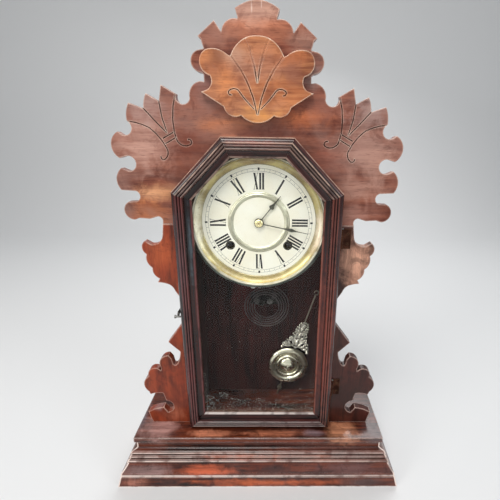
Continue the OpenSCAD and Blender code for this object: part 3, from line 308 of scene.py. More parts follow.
def piece(name, points, faces, body, slot, finish, replaced=(), crease=35.0, edge_marks=None):
    """Piece of these points and faces, its doubles merged, its faces turned outwards and its creases kept.

    The rubbed share of each point, where it is known, is kept on the four-sided faces for the finish to follow.
    """
    mesh = new_mesh(name, points, faces)
    if edge_marks is not None:
        corner, sides = np.zeros(len(mesh.loops), int), np.zeros(len(mesh.polygons), int)
        mesh.loops.foreach_get("vertex_index", corner)
        # The edge marks of each point, where they are known, are kept on the four-sided faces for the finish to
        # follow: above nought a pale edge of wear and painted highlight, below nought painted shade in a hollow.
        mesh.polygons.foreach_get("loop_total", sides)
        share = np.ravel(edge_marks)[corner] * (np.repeat(sides, sides) == 4)
        mesh.attributes.new("edge_marks", "FLOAT", "CORNER").data.foreach_set("value", share)
    cleaned(mesh, 1e-7)
    mesh.shade_smooth()
    mesh.set_sharp_from_angle(angle=math.radians(crease))
    return placed(mesh, body, finish, replaced)


def eased(name, packed, radius, body, slot, finish):
    """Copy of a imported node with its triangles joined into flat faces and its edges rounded, in millimetres."""
    mesh = nodes[packed].data.copy()
    mesh.name = name
    cleaned(mesh, 1e-6, math.radians(0.5))
    mesh.shade_smooth()
    placed(mesh, body, finish, (packed,), radius * mm)


def new_group(name, inputs, outputs):
    """A shader node group with inputs (name, kind, default) and value outputs: it, its sources and its sinks."""
    group = bpy.data.node_groups.new(name, "ShaderNodeTree")
    for label, kind, value in inputs:
        socket = group.interface.new_socket(label, in_out="INPUT", socket_type="NodeSocket" + kind)
        if value is not None:
            socket.default_value = value
    for label in outputs:
        group.interface.new_socket(label, in_out="OUTPUT", socket_type="NodeSocketFloat")
    return group, group.nodes.new("NodeGroupInput").outputs, group.nodes.new("NodeGroupOutput").inputs


def noise(tree, vector, scale, detail, roughness=0.5, distortion=0.0):
    """Value socket of a noise texture over the vector."""
    return node(tree, "TexNoise", {"Vector": vector, "Scale": scale, "Detail": detail, "Roughness": roughness,
                                   "Distortion": distortion}).outputs[0]


def mixed(tree, factor, *colours):
    """Colour socket from the first colour to the second by the factor: sockets, or screen colours to 255."""
    first, second = (srgb(*colour) if isinstance(colour, tuple) else colour for colour in colours)
    return node(tree, "Mix", {0: factor, 6: first, 7: second}, data_type="RGBA").outputs[2]


def ramped(tree, value, low, high, least=0.0, most=1.0):
    """Value socket taken smoothly from low..high to least..most."""
    given = {"Value": value, "From Min": low, "From Max": high, "To Min": least, "To Max": most}
    return node(tree, "MapRange", given, interpolation_type="SMOOTHSTEP").outputs[0]


# Grain along the vector's x: fine streaks, broad figure and short pores, each a stretched noise and its ramp
grain_group, source, sink = new_group("wood_grain", [("Vector", "Vector", None)], ["Streak", "Figure", "Pore"])
for label, stretch, look, ramp in (("Streak", (14, 190, 190), (5, 0.6, 0.5), (0.36, 0.66)),
                                   ("Figure", (9, 26, 26), (6, 0.62, 1.2), (0.36, 0.64)),
                                   ("Pore", (110, 1500, 1500), (1, 0.5, 0.0), (0.6, 0.72))):
    stretched = node(grain_group, "VectorMath", {0: source[0], 1: stretch}, operation="MULTIPLY").outputs[0]
    grain_group.links.new(ramped(grain_group, noise(grain_group, stretched, 1, *look), *ramp), sink[label])

# Pale edges and shaded hollows: how much of the piece lies close behind a point, and close before it.
# The pale edges stand for rubbed wear and for painted highlight where edges catch the light; the hollows get painted
# shade.
edge_reach, shade_reach = 1.3 * mm, 4 * mm
edge_group, source, sink = new_group(
    "edges_and_hollows", [("Vector", "Vector", None), ("Reach", "Float", edge_reach), ("Edge_marks", "Float", 0.0)],
    ["Wear", "Hollow_shade"])
nearby = {"samples": 6, "only_local": True}
behind = node(edge_group, "AmbientOcclusion", {"Distance": source["Reach"]}, inside=True, **nearby).outputs["AO"]
before = node(edge_group, "AmbientOcclusion", {"Distance": shade_reach}, **nearby).outputs["AO"]
patchy = ramped(edge_group, noise(edge_group, source["Vector"], 70, 4), 0.34, 0.52, 0.35, 1.0)
# pale edges: rubbed wear, and painted highlight where edges catch the light
on_edge = worked(edge_group, "MAXIMUM", ramped(edge_group, behind, 0.96, 0.66), source["Edge_marks"])
# painted shade: where the piece lies close before a point, or where its section turns into a hollow
shaded_hollow = worked(edge_group, "MAXIMUM", ramped(edge_group, before, 0.85, 0.35),
                   times(edge_group, source["Edge_marks"], -1.0))
edge_group.links.new(times(edge_group, on_edge, patchy), sink["Wear"])
edge_group.links.new(shaded_hollow, sink["Hollow_shade"])

# A patch of another tone: near a place, its rim broken up by noise, longer along the grain
patch_group, source, sink = new_group("patch", [(label, "Vector", None) for label in ("Vector", "Place", "Spread")],
                                      ["Mask"])
offset = node(patch_group, "VectorMath", {0: source["Vector"], 1: source["Place"]}, operation="SUBTRACT").outputs[0]
shares = node(patch_group, "VectorMath", {0: offset, 1: source["Spread"]}, operation="DIVIDE").outputs[0]
distance = node(patch_group, "VectorMath", {0: shares}, operation="LENGTH").outputs["Value"]
ragged = noise(patch_group, source["Vector"], 42, 5, 0.65, 0.8)
spread_out = worked(patch_group, "ADD", distance, times(patch_group, ragged, 1.5))
patch_group.links.new(ramped(patch_group, spread_out, 1.75, 0.95), sink["Mask"])


def edge_and_hollow(tree, place, reach):
    """Pale-edge and hollow-shade sockets of a surface, with the edge marks that its mesh may keep."""
    kept = node(tree, "Attribute", attribute_name="edge_marks").outputs["Fac"]
    return node(tree, "Group", {"Vector": place, "Reach": reach, "Edge_marks": kept}, node_tree=edge_group).outputs


def patched(tree, colour, place, patches, evenness=1.0):
    """The colour under patches (place, spread, tone, strength) in millimetres, by the evenness given."""
    for spot, spread, tone, strength in patches:
        given = {"Vector": place, "Place": [x * mm for x in spot], "Spread": [x * mm for x in spread]}
        mask = node(tree, "Group", given, node_tree=patch_group).outputs[0]
        colour = mixed(tree, times(tree, times(tree, mask, strength), evenness), colour, tone)
    return colour


along_x, along_y, along_z = (0, 0, 0), (0, 0, -math.pi / 2), (0, math.pi / 2, 0)
# tones of painted shade: in hollows, and at the bottom of cut lines
shade_tone, groove_shade_tone = (16, 10, 8), (26, 15, 12)


def wood(name, deep, body, light, turn=along_x, edge_marks=(196, 150, 130), pale_edges=0.75, gloss=0.3, patches=(),
         painted_sheen=(0.0, (150, 122, 116)), groove_shade=None, lacquer=0.2, open_pores=1.0, reach=edge_reach):
    """Varnished wood: streaks and figure between three tones, patches of other tones, a painted sheen, painted shade
    in its hollows, and edges pale from rubbed wear and painted highlight.

    A groove shade is (face, start, full): painted shade darkens a carved line from the start to the full depth behind
    the face.
    """
    made, tree = new_material(name)
    place = node(tree, "TexCoord").outputs["Object"]
    lengthways = node(tree, "Mapping", {"Vector": place, "Rotation": turn}).outputs[0]
    grain = node(tree, "Group", {"Vector": lengthways}, node_tree=grain_group).outputs
    edges = edge_and_hollow(tree, place, reach)
    colour = mixed(tree, grain["Figure"], deep, body)
    colour = mixed(tree, times(tree, grain["Streak"], 0.5), colour, light)
    evenness = worked(tree, "ADD", times(tree, grain["Streak"], 0.45), 0.55)
    colour = patched(tree, colour, place, patches, evenness)
    clouds = noise(tree, place, 13, 5, 0.6, 0.6)
    # painted sheen: a pale glare on the varnish, in clouds
    sheen_share, sheen_tone = painted_sheen
    colour = mixed(tree, times(tree, ramped(tree, clouds, 0.4, 0.66), sheen_share), colour, sheen_tone)
    mottle = noise(tree, lengthways, 48, 6, 0.7, 1.0)
    colour = mixed(tree, ramped(tree, mottle, 0.48, 0.3, 0, 0.5), colour, deep)
    colour = mixed(tree, times(tree, grain["Pore"], 0.4 * open_pores), colour, deep)
    # painted shade in the hollows
    colour = mixed(tree, times(tree, edges["Hollow_shade"], 0.8), colour, shade_tone)
    # painted shade at the bottom of cut lines
    if groove_shade:
        face, start, full = groove_shade
        depth = node(tree, "SeparateXYZ", {0: place}).outputs[1]
        groove_shaded = times(tree, ramped(tree, depth, face + start, face + full, 0, 0.94),
                       ramped(tree, edges["Hollow_shade"], 0.0, 0.04))
        colour = mixed(tree, groove_shaded, colour, groove_shade_tone)
    # pale edges: rubbed wear, and painted highlight where edges catch the light
    colour = mixed(tree, times(tree, edges["Wear"], pale_edges), colour, edge_marks)
    relief = worked(tree, "SUBTRACT", grain["Streak"], grain["Pore"])
    bump = node(tree, "Bump", {"Height": relief, "Strength": 0.02 + 0.08 * open_pores, "Distance": 0.2 * mm})
    surfaced(tree, {
        "Base Color": colour, "Roughness": worked(tree, "ADD", times(tree, clouds, 0.22), gloss),
        "Normal": bump.outputs[0], "Specular IOR Level": 0.25, "Coat Weight": lacquer, "Coat Roughness": 0.14,
        "IOR": 1.5})
    return made


base_tones = {"deep": (20, 10, 9), "body": (78, 33, 22), "light": (146, 70, 42)}
# patches (place, spread, tone, strength): the dark band under the board's edge at height 46 is painted shadow, the
# dark patch inside the case at y 60 is painted shade, and the pale and blue-grey patches on the board's top at 61.5
# are partly the wood's tone and partly painted sheen
base_patches = [
    ((0, -50, 34), (160, 60, 6), (84, 40, 30), 0.7), ((-20, -50, 35), (70, 50, 6), (190, 94, 56), 0.8),
    ((80, -50, 34), (40, 50, 6), (170, 112, 92), 0.8), ((0, -45, 46), (170, 30, 4), (40, 22, 18), 0.95),
    ((0, -38, 57), (170, 30, 3), (126, 52, 20), 0.9), ((-66, -50, 20), (50, 60, 8), (206, 100, 66), 1.0),
    ((-145, -50, 21), (45, 50, 8), (150, 118, 114), 1.0), ((20, -50, 21), (40, 50, 8), (60, 36, 34), 0.95),
    ((120, -50, 21), (70, 50, 8), (104, 70, 68), 0.95), ((0, -50, 6), (130, 60, 7), (206, 100, 56), 1.0),
    ((-115, -50, 6), (22, 50, 9), (70, 42, 38), 0.95), ((-160, -50, 6), (20, 50, 9), (184, 118, 98), 0.9),
    ((140, -50, 6), (40, 50, 8), (74, 60, 60), 0.9), ((110, -30, 61.5), (30, 30, 20), (216, 146, 108), 0.95),
    ((155, -30, 61.5), (20, 30, 20), (92, 78, 80), 0.9), ((-135, -20, 61.5), (35, 30, 20), (204, 158, 150), 0.95),
    ((-170, 0, 61.5), (15, 40, 20), (112, 116, 126), 0.9), ((-60, -32, 61.5), (50, 8, 10), (232, 146, 112), 1.0),
    ((20, -32, 61.5), (50, 8, 10), (206, 126, 94), 1.0), ((75, -32, 61.5), (20, 8, 10), (150, 128, 134), 0.9),
    ((-40, 60, 61.5), (90, 70, 30), (34, 24, 24), 0.95),
]
# the near-white edge colour of the base is rubbed wear and painted highlight
base_look = {**base_tones, "patches": base_patches, "pale_edges": 1.0, "gloss": 0.14, "edge_marks": (244, 224, 214),
             "lacquer": 0.4}
# the side mouldings carry a stronger painted sheen than the front
base_wood = wood("base_wood", **base_look, painted_sheen=(0.14, (138, 108, 104)))
base_side_wood = wood("base_side_wood", **base_look, turn=along_y, painted_sheen=(0.6, (156, 140, 138)))
raw_wood = wood("raw_wood", (58, 36, 24), (96, 64, 42), (124, 88, 60), edge_marks=(150, 118, 88),
                pale_edges=0.4, gloss=0.6, lacquer=0.0)

board_low, board_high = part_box("base_board")
moulding_h = board_low.z
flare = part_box("base_right_moulding")[1].x - board_high.x
moulding_back, cove_in = 14 * mm, 2.7 * mm
# distance out from the board's edge, height, bulge; the middle ones as shares of the flare and the height
moulding_section = traced([
    (-cove_in, moulding_h), (-cove_in, moulding_h * 0.83, -0.3),
    *[(flare * out, moulding_h * up, *bulge) for out, up, *bulge in (
        (0.05, 0.795, 0.75), (0.16, 0.697, 0.75), (0.22, 0.603, 0.75), (0.4, 0.52), (0.43, 0.5, -0.08),
        (0.77, 0.34), (0.8, 0.31), (0.8, 0.25), (0.84, 0.24), (1, 0.017), (1, 0))],
    (-moulding_back, 0), (-moulding_back, moulding_h), (-cove_in, moulding_h)
])[:-1]
moulding_section = softened(moulding_section, radius=0.6 * mm, step=0.6 * mm)
moulding_marks = turning_share(moulding_section, reach=0.8 * mm)
# the beads' crests and the step over the foot carry pale lines all along, painted highlights of the light from above:
# height, strength, breadth in mm
for height, strength, breadth in ((0.755, 0.9, 0.5), (0.66, 0.7, 0.5), (0.575, 0.9, 0.5), (0.27, 1.0, 1.1)):
    near = strength * np.exp(-((moulding_section[:, 1] - height * moulding_h) / (breadth * mm)) ** 2)
    near *= moulding_section[:, 0] > 0
    moulding_marks = np.where(near > 0.06, np.maximum(moulding_marks, near), moulding_marks)
# the board's edge in plan, with the outside on the right of the way round
board_edge = [(board_low.x, board_high.y), (board_low.x, board_low.y), (board_high.x, board_low.y),
              (board_high.x, board_high.y)]
moulding_grid = carried(moulding_section * (-1, 1), board_edge)


def member(name, grid, section_marks, first, body, slot, finish, replaced, gap=0.08 * mm, fade=(1, 1)):
    """One length between two corners of a carried grid, each end pulled in by the gap and closed by a cap.

    The edge marks go evenly from the first of the fade's strengths at one end to the second at the other.
    """
    ends = grid[first:first + 2].copy()
    pull = ends[1].mean(0) - ends[0].mean(0)
    pull *= gap / np.linalg.norm(pull)
    ends[0] += pull
    ends[1] -= pull
    count = ends.shape[1]
    faces = grid_faces(2, count, wrap_columns=True)
    faces += [list(range(count)), list(range(2 * count - 1, count - 1, -1))]
    piece(name, ends, faces, body, slot, finish, (replaced,), edge_marks=np.outer(fade, section_marks))


# the front moulding's pale lines fade from 1.25 at the left to 0.7 at the right: painted highlight, brighter to the
# left
for index, (side, finish, fade) in enumerate((
        ("left", base_side_wood, (1, 1)), ("front", base_wood, (1.25, 0.7)), ("right", base_side_wood, (1, 1)))):
    member("moulding_" + side, moulding_grid, moulding_marks, index, "case", "base_wood", finish,
           f"base_{side}_moulding", fade=fade)
eased("base_board_planed", "base_board", 1.1, "case", "base_wood", base_wood)
eased("base_rail_sawn", "base_back_rail", 0.5, "case", "raw_wood", raw_wood)


# Case
# Two side boards, two sloping boards and a top of dark-stained pine, nailed to a thin backboard.
# Inside and out they're plain; the backboard's boards show through the glass.
case_look = {"deep": (26, 15, 12), "body": (50, 29, 22), "light": (70, 40, 30), "edge_marks": (104, 70, 54),
             "pale_edges": 0.6, "gloss": 0.42}
case_wood = wood("case_wood", **case_look, turn=along_z)
case_top_wood = wood("case_top_wood", **case_look, turn=along_y)
# the backboard is coloured far darker than the raw wood of its slot: painted shade of the case's inside
shaded_back_wood = wood("shaded_back_wood", (26, 13, 12), (58, 27, 25), (74, 35, 31), turn=along_z, edge_marks=(90, 60, 48),
                 pale_edges=0.5, gloss=0.5, lacquer=0.0, open_pores=0.0,
                 patches=[((-20, 50, 240), (30, 30, 100), (92, 36, 34), 0.7)])
for packed, finish in (("case_left_side", case_wood), ("case_right_side", case_wood),
                       ("case_slopes", case_top_wood), ("case_top", case_top_wood)):
    eased(packed + "_board", packed, 0.5, "case", "case_wood", finish)
eased("backboard_planed", "backboard", 0.5, "case", "raw_wood", shaded_back_wood)
eased("dial_blocks_sawn", "dial_blocks", 0.6, "case", "raw_wood", raw_wood)


# Fretwork
# Three sawn boards of stained walnut: a crest above a joint, and a wing on each side under it.
# Their outlines are scallops, feathers and leaf points, and lines are cut into the crest with a V tool.
(_, fret_front, _), (fret_half, fret_back, fret_top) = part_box("crest_board")
joint_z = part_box("left_wing")[1].z
base_top = board_high.z
# corners (x, height, bulge) in millimetres for the right half, from the peak down to the joint
crest_corners = [
    (0, 221.5, 0.12), (21.7, 213.6), (19.4, 206, 0.06), (19.4, 204.8, 0.45), (35.6, 193.6), (42.4, 203.1),
    (59, 189.4), (56.2, 187.2), (53.6, 178.6), (59, 177.5, 0.89), (57.3, 157.3), (54.7, 155.7), (54.7, 148.8),
    (59, 149.3, 0.42), (70.4, 133.5, -1.1), (84.5, 137.1), (99.1, 145.4), (102.2, 129.9), (115.2, 137, 0.12),
    (118.9, 122.7), (134.1, 127.9, 0.14), (137.6, 110.4, -1.2), (146.9, 98.6), (148.9, 99.5, 0.575),
    (149.9, 72.4), (143, 74.5, -1.36), (143, 59.4), (149.3, 62.1, 0.43), (152, 38.2), (136.2, 37.3, -0.9),
    (139, 25.7), (145.7, 25.3, 0.79), (140.8, 4.9), (135.4, 6.8), (123.4, 6), (114.6, 8.8, -0.45), (109.4, 3.2),
    (109.9, 0),
]
# corners of the wing from its joint with the crest down to the base board
wing_corners = [
    (109.9, 282), (111.5, 268.5, -0.42), (126, 257.5), (132.9, 261.6, 0.53), (132.3, 245.5, 0.34),
    (127.1, 228.5, 0.33), (119.7, 214.7), (122.5, 209.7, -0.1), (113, 208.5, -0.3), (102.3, 198.6), (93.1, 184),
    (93.1, 160), (117, 127.4), (102.7, 113, -0.1), (107, 96), (110.3, 92.6), (112.8, 93.1), (114.5, 101.8),
    (118.5, 107.1, 0.57), (129.6, 88.6), (130.2, 84, 0.87), (146.9, 75, 0.54), (149.2, 51), (147.6, 46.3, -0.15),
    (130.5, 48.3), (127.5, 36.3, -0.9), (126.2, 16.6), (131.7, 24.8, 0.06), (145.6, 21.6), (153.3, 17.1),
    (148.4, 0),
]
crest_scale = np.array([fret_half / traced(crest_corners)[:, 0].max(), (fret_top - joint_z) / crest_corners[0][1]])
wing_scale = np.array([crest_scale[0], (joint_z - base_top) / wing_corners[0][1]])
# cut lines of the right half: width at the start, width at the end, and corners as above
crest_cuts = [
    (1.7, 1.7, [(137, 110, -0.1), (114.5, 103.9, -0.13), (97.2, 82, -0.3), (100.5, 72, -0.75), (104.8, 75)]),
    (1.7, 1.4, [(118.9, 122.9, 0.02), (96.6, 99)]),
    (1.7, 1.4, [(102.2, 130.1, 0.08), (96.2, 99.3)]),
    (1.7, 1.8, [(84.6, 137.3, 0.12), (88.6, 100, 0.02), (86.2, 91, 0.45), (71.6, 88, 0.8), (75, 92.5)]),
    (1.5, 1.5, [(101.5, 93.2), (89.2, 99.8)]),
    (1.5, 1.5, [(99, 88), (86.6, 94.8)]),
]


def on_crest(points):
    """Points (x, height) in the crest's millimetres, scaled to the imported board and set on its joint."""
    return np.asarray(points) * crest_scale + (0, joint_z)


def on_face(y, rows, z_from=0.0):
    """Patches on a face at this y: rows (x, z, spread across, spread up, tone, strength), z from a height."""
    return [((x, y / mm, z + z_from / mm), (across, 30, up), tone, strength)
            for x, z, across, up, tone, strength in rows]


def mirrored(half):
    """The right half of an outline with its left half, taken back from the middle and without repeats there."""
    other = half[::-1] * (-1, 1)
    return np.vstack([half, other[np.abs(other[:, 0]) > 1e-6]])


def anticlockwise(outline):
    """The outline the way round that has its inside on the left: the sum of cross products is above zero."""
    a, b = outline, np.roll(outline, -1, 0)
    return outline if (a[:, 0] * b[:, 1] - b[:, 0] * a[:, 1]).sum() > 0 else outline[::-1]


def board_shell(outline, front, back, arris):
    """Points and faces of a sawn board: its edge section, a quarter round at front and back, carried round."""
    quarter = np.radians(np.linspace(0, 90, 5))
    round_off = np.stack([arris * (1 - np.sin(quarter)), arris * (1 - np.cos(quarter))], -1)
    section = np.vstack([round_off + (0, front), round_off[::-1] * (1, -1) + (0, back)])
    grid = carried(section, anticlockwise(outline), closed=True)
    rows, columns = grid.shape[:2]
    faces = grid_faces(rows, columns, wrap_rows=True)
    faces += [[row * columns for row in range(rows)], [row * columns + columns - 1 for row in range(rows)]]
    return grid[:, :, [0, 2, 1]], faces


def v_cut(path, front, widths, deepest=0.85 * mm):
    """Three-sided bar along a path: as wide at the face as the cut there, and 0.6 of that deep up to the deepest.

    Each ring is the path moved sideways by 1.5 half widths, half a depth before the face, and the path itself
    at the depth, so that the ring's sides cross the face a half width from the path.
    """
    count = len(path)
    way = np.gradient(path, axis=0)
    way /= np.linalg.norm(way, axis=1, keepdims=True)
    half, depth = 0.75 * widths[:, None], np.minimum(0.6 * widths, deepest)
    aside = np.stack([-way[:, 1], way[:, 0]], -1) * half
    ring = [np.column_stack([path + aside, front - depth / 2]), np.column_stack([path - aside, front - depth / 2]),
            np.column_stack([path, front + depth])]
    faces = grid_faces(count, 3, wrap_columns=True)
    return np.stack(ring, 1)[:, :, [0, 2, 1]], faces + [[0, 1, 2], [3 * count - 1, 3 * count - 2, 3 * count - 3]]


def joined(shells):
    """Points and faces of several shells as one: each shell's faces count on from the points before it."""
    points, faces, count = [], [], 0
    for shell_points, shell_faces in shells:
        points.append(np.asarray(shell_points).reshape(-1, 3))
        faces += [[index + count for index in face] for face in shell_faces]
        count += len(points[-1])
    return np.vstack(points), faces


def cut_from(solid, points, faces):
    """Takes a shell of points and faces out of a piece, and keeps the result as its mesh."""
    cutter_mesh = new_mesh("cutter", points, faces)
    cleaned(cutter_mesh, 1e-7)
    cutter = bpy.data.objects.new("cutter", cutter_mesh)
    scene.collection.objects.link(cutter)
    solid.modifiers.clear()
    cut = solid.modifiers.new("cut", "BOOLEAN")
    cut.operation, cut.solver, cut.use_self, cut.object = "DIFFERENCE", "EXACT", True, cutter
    bpy.context.view_layer.update()
    solid.data = bpy.data.meshes.new_from_object(solid.evaluated_get(bpy.context.evaluated_depsgraph_get()))
    solid.modifiers.clear()
    solid.data.shade_smooth()
    solid.data.set_sharp_from_angle(angle=math.radians(35))
    solid.modifiers.new("even_faces", "WEIGHTED_NORMAL").keep_sharp = True
    bpy.data.objects.remove(cutter)


def lengths_along(line):
    """Length of a line from its start to each of its points."""
    return np.append(0, np.cumsum(np.linalg.norm(np.diff(line, axis=0), axis=1)))


def at_lengths(line, places):
    """Points of a line at these lengths from its start."""
    return np.stack([np.interp(places, lengths_along(line), line[:, k]) for k in (0, 1)], -1)


def carve(board, cuts, front):
    """Takes the lines, and their mirror images, out of the board's face, each with its widths in millimetres."""
    bars = []
    for start_width, end_width, corners in cuts:
        line = traced(corners, step=10)
        line = at_lengths(line, np.linspace(0, lengths_along(line)[-1], max(12, 2 * len(line))))
        widths = np.linspace(start_width, end_width, len(line)) * mm
        bars += [v_cut(on_crest(line) * (side, 1), front, widths) for side in (1, -1)]
    cut_from(board, *joined(bars))


door_half, _, shoulder_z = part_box("door_right_stile")[1]
door_top_half, _, door_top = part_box("door_top_rail")[1]
door_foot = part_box("door_bottom_rail")[0].z
door_outline = np.array([
    (door_half, door_foot), (door_half, shoulder_z), (door_top_half, door_top),
    (-door_top_half, door_top), (-door_half, shoulder_z), (-door_half, door_foot),
])
# the case's inside is an octagon-topped opening, inset from the door's outline
opening_inset = 11 * mm
opening = carried([(opening_inset, 0)], door_outline, closed=True)[:, 0, :2]
opening_side, opening_top = opening[1], opening[2]

# the crest's pale edges are rubbed wear and painted highlight, and its cut lines hold painted shade
crest_wood = wood(
    "crest_wood", (84, 38, 28), (132, 72, 54), (166, 100, 76), edge_marks=(232, 204, 188), pale_edges=0.85, gloss=0.26,
    painted_sheen=(0.4, (164, 126, 114)), groove_shade=(fret_front, 0.03 * mm, 0.2 * mm),
    patches=on_face(fret_front, [
        (-35, 452, 45, 12, (206, 124, 78), 0.85), (46, 458, 40, 14, (196, 112, 70), 0.75),
        (-120, 430, 45, 40, (204, 160, 144), 0.8), (120, 430, 45, 40, (196, 156, 142), 0.75),
        (-112, 379, 40, 14, (236, 172, 124), 0.9), (112, 385, 40, 20, (190, 142, 124), 0.8),
        # the dark patch at height 447, just under the ornament, is the ornament's painted shadow
        (0, 447, 50, 7, (104, 46, 36), 0.6), (-10, 425, 90, 14, (100, 42, 30), 0.7),
        (-125, 356, 35, 22, (210, 124, 70), 0.95), (110, 357, 30, 20, (178, 126, 110), 0.85),
        (-80, 430, 40, 30, (118, 60, 46), 0.6), (-150, 362, 20, 20, (96, 70, 64), 0.8),
        (-125, 360, 30, 10, (130, 82, 66), 0.7), (30, 438, 12, 4, (196, 120, 96), 0.8),
        (-30, 440, 12, 4, (206, 130, 96), 0.8), (-118, 466, 35, 25, (172, 142, 134), 0.8),
        (118, 466, 35, 25, (168, 144, 138), 0.8), (130, 415, 35, 30, (190, 142, 124), 0.85),
        (75, 415, 30, 30, (150, 84, 66), 0.7), (-150, 400, 30, 30, (132, 92, 80), 0.7),
        (-55, 476, 20, 20, (150, 108, 98), 0.6), (55, 500, 20, 20, (150, 122, 116), 0.8),
        (-55, 500, 20, 20, (140, 104, 100), 0.8), (0, 535, 60, 16, (180, 116, 88), 0.8),
        (40, 530, 20, 14, (168, 128, 112), 0.7), (-45, 530, 20, 14, (160, 110, 92), 0.7),
        (0, 545, 50, 8, (212, 136, 102), 0.8), (0, 557, 40, 20, (204, 158, 138), 0.9),
        # the two thin pale streaks at the peak are painted highlights
        (-5.5, 559, 1.1, 8, (232, 206, 192), 0.8), (4, 561, 0.9, 5, (232, 206, 192), 0.8),
    ]))
crest_half = np.vstack([
    on_crest(traced(crest_corners)), [(opening_side[0], joint_z), opening_side, opening_top]])
fret_arris = 0.7 * mm
crest = piece("crest_sawn", *board_shell(mirrored(crest_half), fret_front, fret_back, fret_arris), "case",
              "fret_wood", crest_wood, ("crest_board",))
carve(crest, crest_cuts, fret_front)

left_wood = wood(
    "left_wing_wood", (74, 27, 14), (140, 54, 28), (172, 76, 40), turn=along_z, edge_marks=(232, 196, 178),
    pale_edges=0.95, gloss=0.24, painted_sheen=(0.04, (140, 92, 76)),
    patches=on_face(fret_front, [
        (-115, 310, 20, 30, (190, 92, 50), 0.8), (-120, 85, 40, 30, (96, 38, 26), 0.8),
        (-115, 75, 20, 20, (186, 106, 78), 0.85), (-140, 90, 12, 12, (160, 140, 140), 0.7)]))
right_wood = wood(
    "right_wing_wood", (34, 16, 13), (68, 29, 23), (92, 43, 33), turn=along_z, edge_marks=(214, 184, 172),
    pale_edges=0.95, gloss=0.24, painted_sheen=(0.1, (118, 88, 78)),
    patches=on_face(fret_front, [
        (115, 300, 30, 45, (226, 170, 142), 0.95), (120, 110, 40, 40, (44, 20, 16), 0.9)]))
wing_half = np.vstack([
    [(opening_side[0], base_top), (opening_side[0], joint_z)], traced(wing_corners) * wing_scale + (0, base_top)])
for side, packed, finish in ((1, "right_wing", right_wood), (-1, "left_wing", left_wood)):
    points, faces = board_shell(wing_half * (side, 1), fret_front, fret_back, fret_arris)
    piece(packed + "_sawn", points, faces, "case", "fret_wood", finish, (packed,))


# Crest ornament
# A thicker shield of orange-stained wood glued to the middle of the crest, its edges left square and crisp.
# A V of cut lines with two scrolls runs up from its foot.
ornament_corners = [
    (0, 189, 0.33), (26.3, 171.1), (29, 172.1, 0.25), (50, 176.6, 0.72), (47.4, 153.4, -0.42), (50.5, 140.7),
    (56.8, 138.4), (34.5, 124.8, 0.5), (16.9, 116.8, 0.21), (0, 109.7),
]
ornament_cuts = [
    (3.0, 1.2, [(26.6, 172.2, -0.15), (0.5, 117.6)]),
    (4.6, 1.1, [(12.6, 188.6, -0.1), (0.4, 147.5)]),
    (1.1, 1.7, [(3.4, 123, -0.05), (19.5, 140.6, 0.35), (28.7, 139.6, 0.7), (26, 136)]),
]
ornament_front, ornament_back = (corner.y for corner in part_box("crest_ornament"))
# the ornament's near-white edges are rubbed wear and painted highlight, and its cut lines hold painted shade
ornament_wood = wood(
    "ornament_wood", (116, 60, 38), (180, 106, 66), (222, 150, 100), edge_marks=(248, 224, 202), pale_edges=0.95,
    gloss=0.22, painted_sheen=(0.3, (190, 142, 120)), groove_shade=(ornament_front, 0.12 * mm, 0.42 * mm), lacquer=0.25,
    patches=on_face(ornament_front, [
        (0, 460, 35, 14, (238, 162, 84), 0.95), (0, 505, 60, 22, (184, 128, 104), 0.6),
        (-30, 490, 14, 30, (224, 140, 82), 0.8), (35, 500, 16, 20, (140, 86, 68), 0.7),
        (-22, 515, 20, 14, (190, 150, 128), 0.6), (-40, 512, 12, 12, (128, 76, 54), 0.7),
        (12, 478, 10, 20, (124, 62, 38), 0.7), (4, 520, 20, 6, (196, 124, 84), 0.7),
    ]))
ornament_outline, ornament_arris = mirrored(on_crest(traced(ornament_corners))), 0.75 * mm
points, faces = board_shell(ornament_outline, ornament_front, ornament_back, ornament_arris)
ornament = piece("ornament_sawn", points, faces, "case", "ornament_wood", ornament_wood, ("crest_ornament",))
carve(ornament, ornament_cuts, ornament_front)


# Door
# Six lengths of one moulding, mitred round the glass: a rounded outer edge, three reeds, a ledge and a bead.
# The varnish is nearly black, worn to red on the reeds, and the mitres have opened a hair.
# The pale lines on the rails' reed crests and at the glass are painted highlights, and the grooves hold painted
# shade.
door_front_y, door_back_y = (corner.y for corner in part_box("door_left_stile"))
door_t, rail_w = 18 * mm, 21.5 * mm
reed_w, reed_start, reeds = 3.05 * mm, 4.4 * mm, 3
reeds_end = reed_start + reed_w * reeds
rebate_w, rebate_d = 5 * mm, 8 * mm
side_h, reed_base, ledge_h = door_t - 7.5 * mm, door_t - 1.6 * mm, door_t - 6 * mm
# inset from the door's edge, height above its back, bulge
door_section = traced([
    (0, 0), (0, side_h, 0.36), *[(reed_start + reed_w * index, reed_base, 0.8) for index in range(reeds)],
    (reeds_end, reed_base), (reeds_end + 0.3 * mm, ledge_h, -0.06), (rail_w - 3 * mm, ledge_h - 0.8 * mm, 0.35),
    (rail_w, ledge_h - 2.4 * mm), (rail_w, rebate_d), (rail_w - rebate_w, rebate_d), (rail_w - rebate_w, 0), (0, 0)
], step=10)[:-1]
door_section = softened(door_section, radius=0.5 * mm, step=0.5 * mm)
inset, height = door_section.T
# where a reed's crest starts over its base and how much higher it is full; the edge at the glass; the outer edge
crest_start, crest_rise, sight_w, sight_drop, edge_w = 0.75 * mm, 0.5 * mm, 2 * mm, 2.6 * mm, 1 * mm
reed_crest = np.clip((height - reed_base - crest_start) / crest_rise, 0, 1)
on_reeds = (inset > reed_start) & (inset < reeds_end)
at_sight = (inset > rail_w - sight_w) & (height > ledge_h - sight_drop)
outer_edge = (inset < edge_w) & (height > side_h)


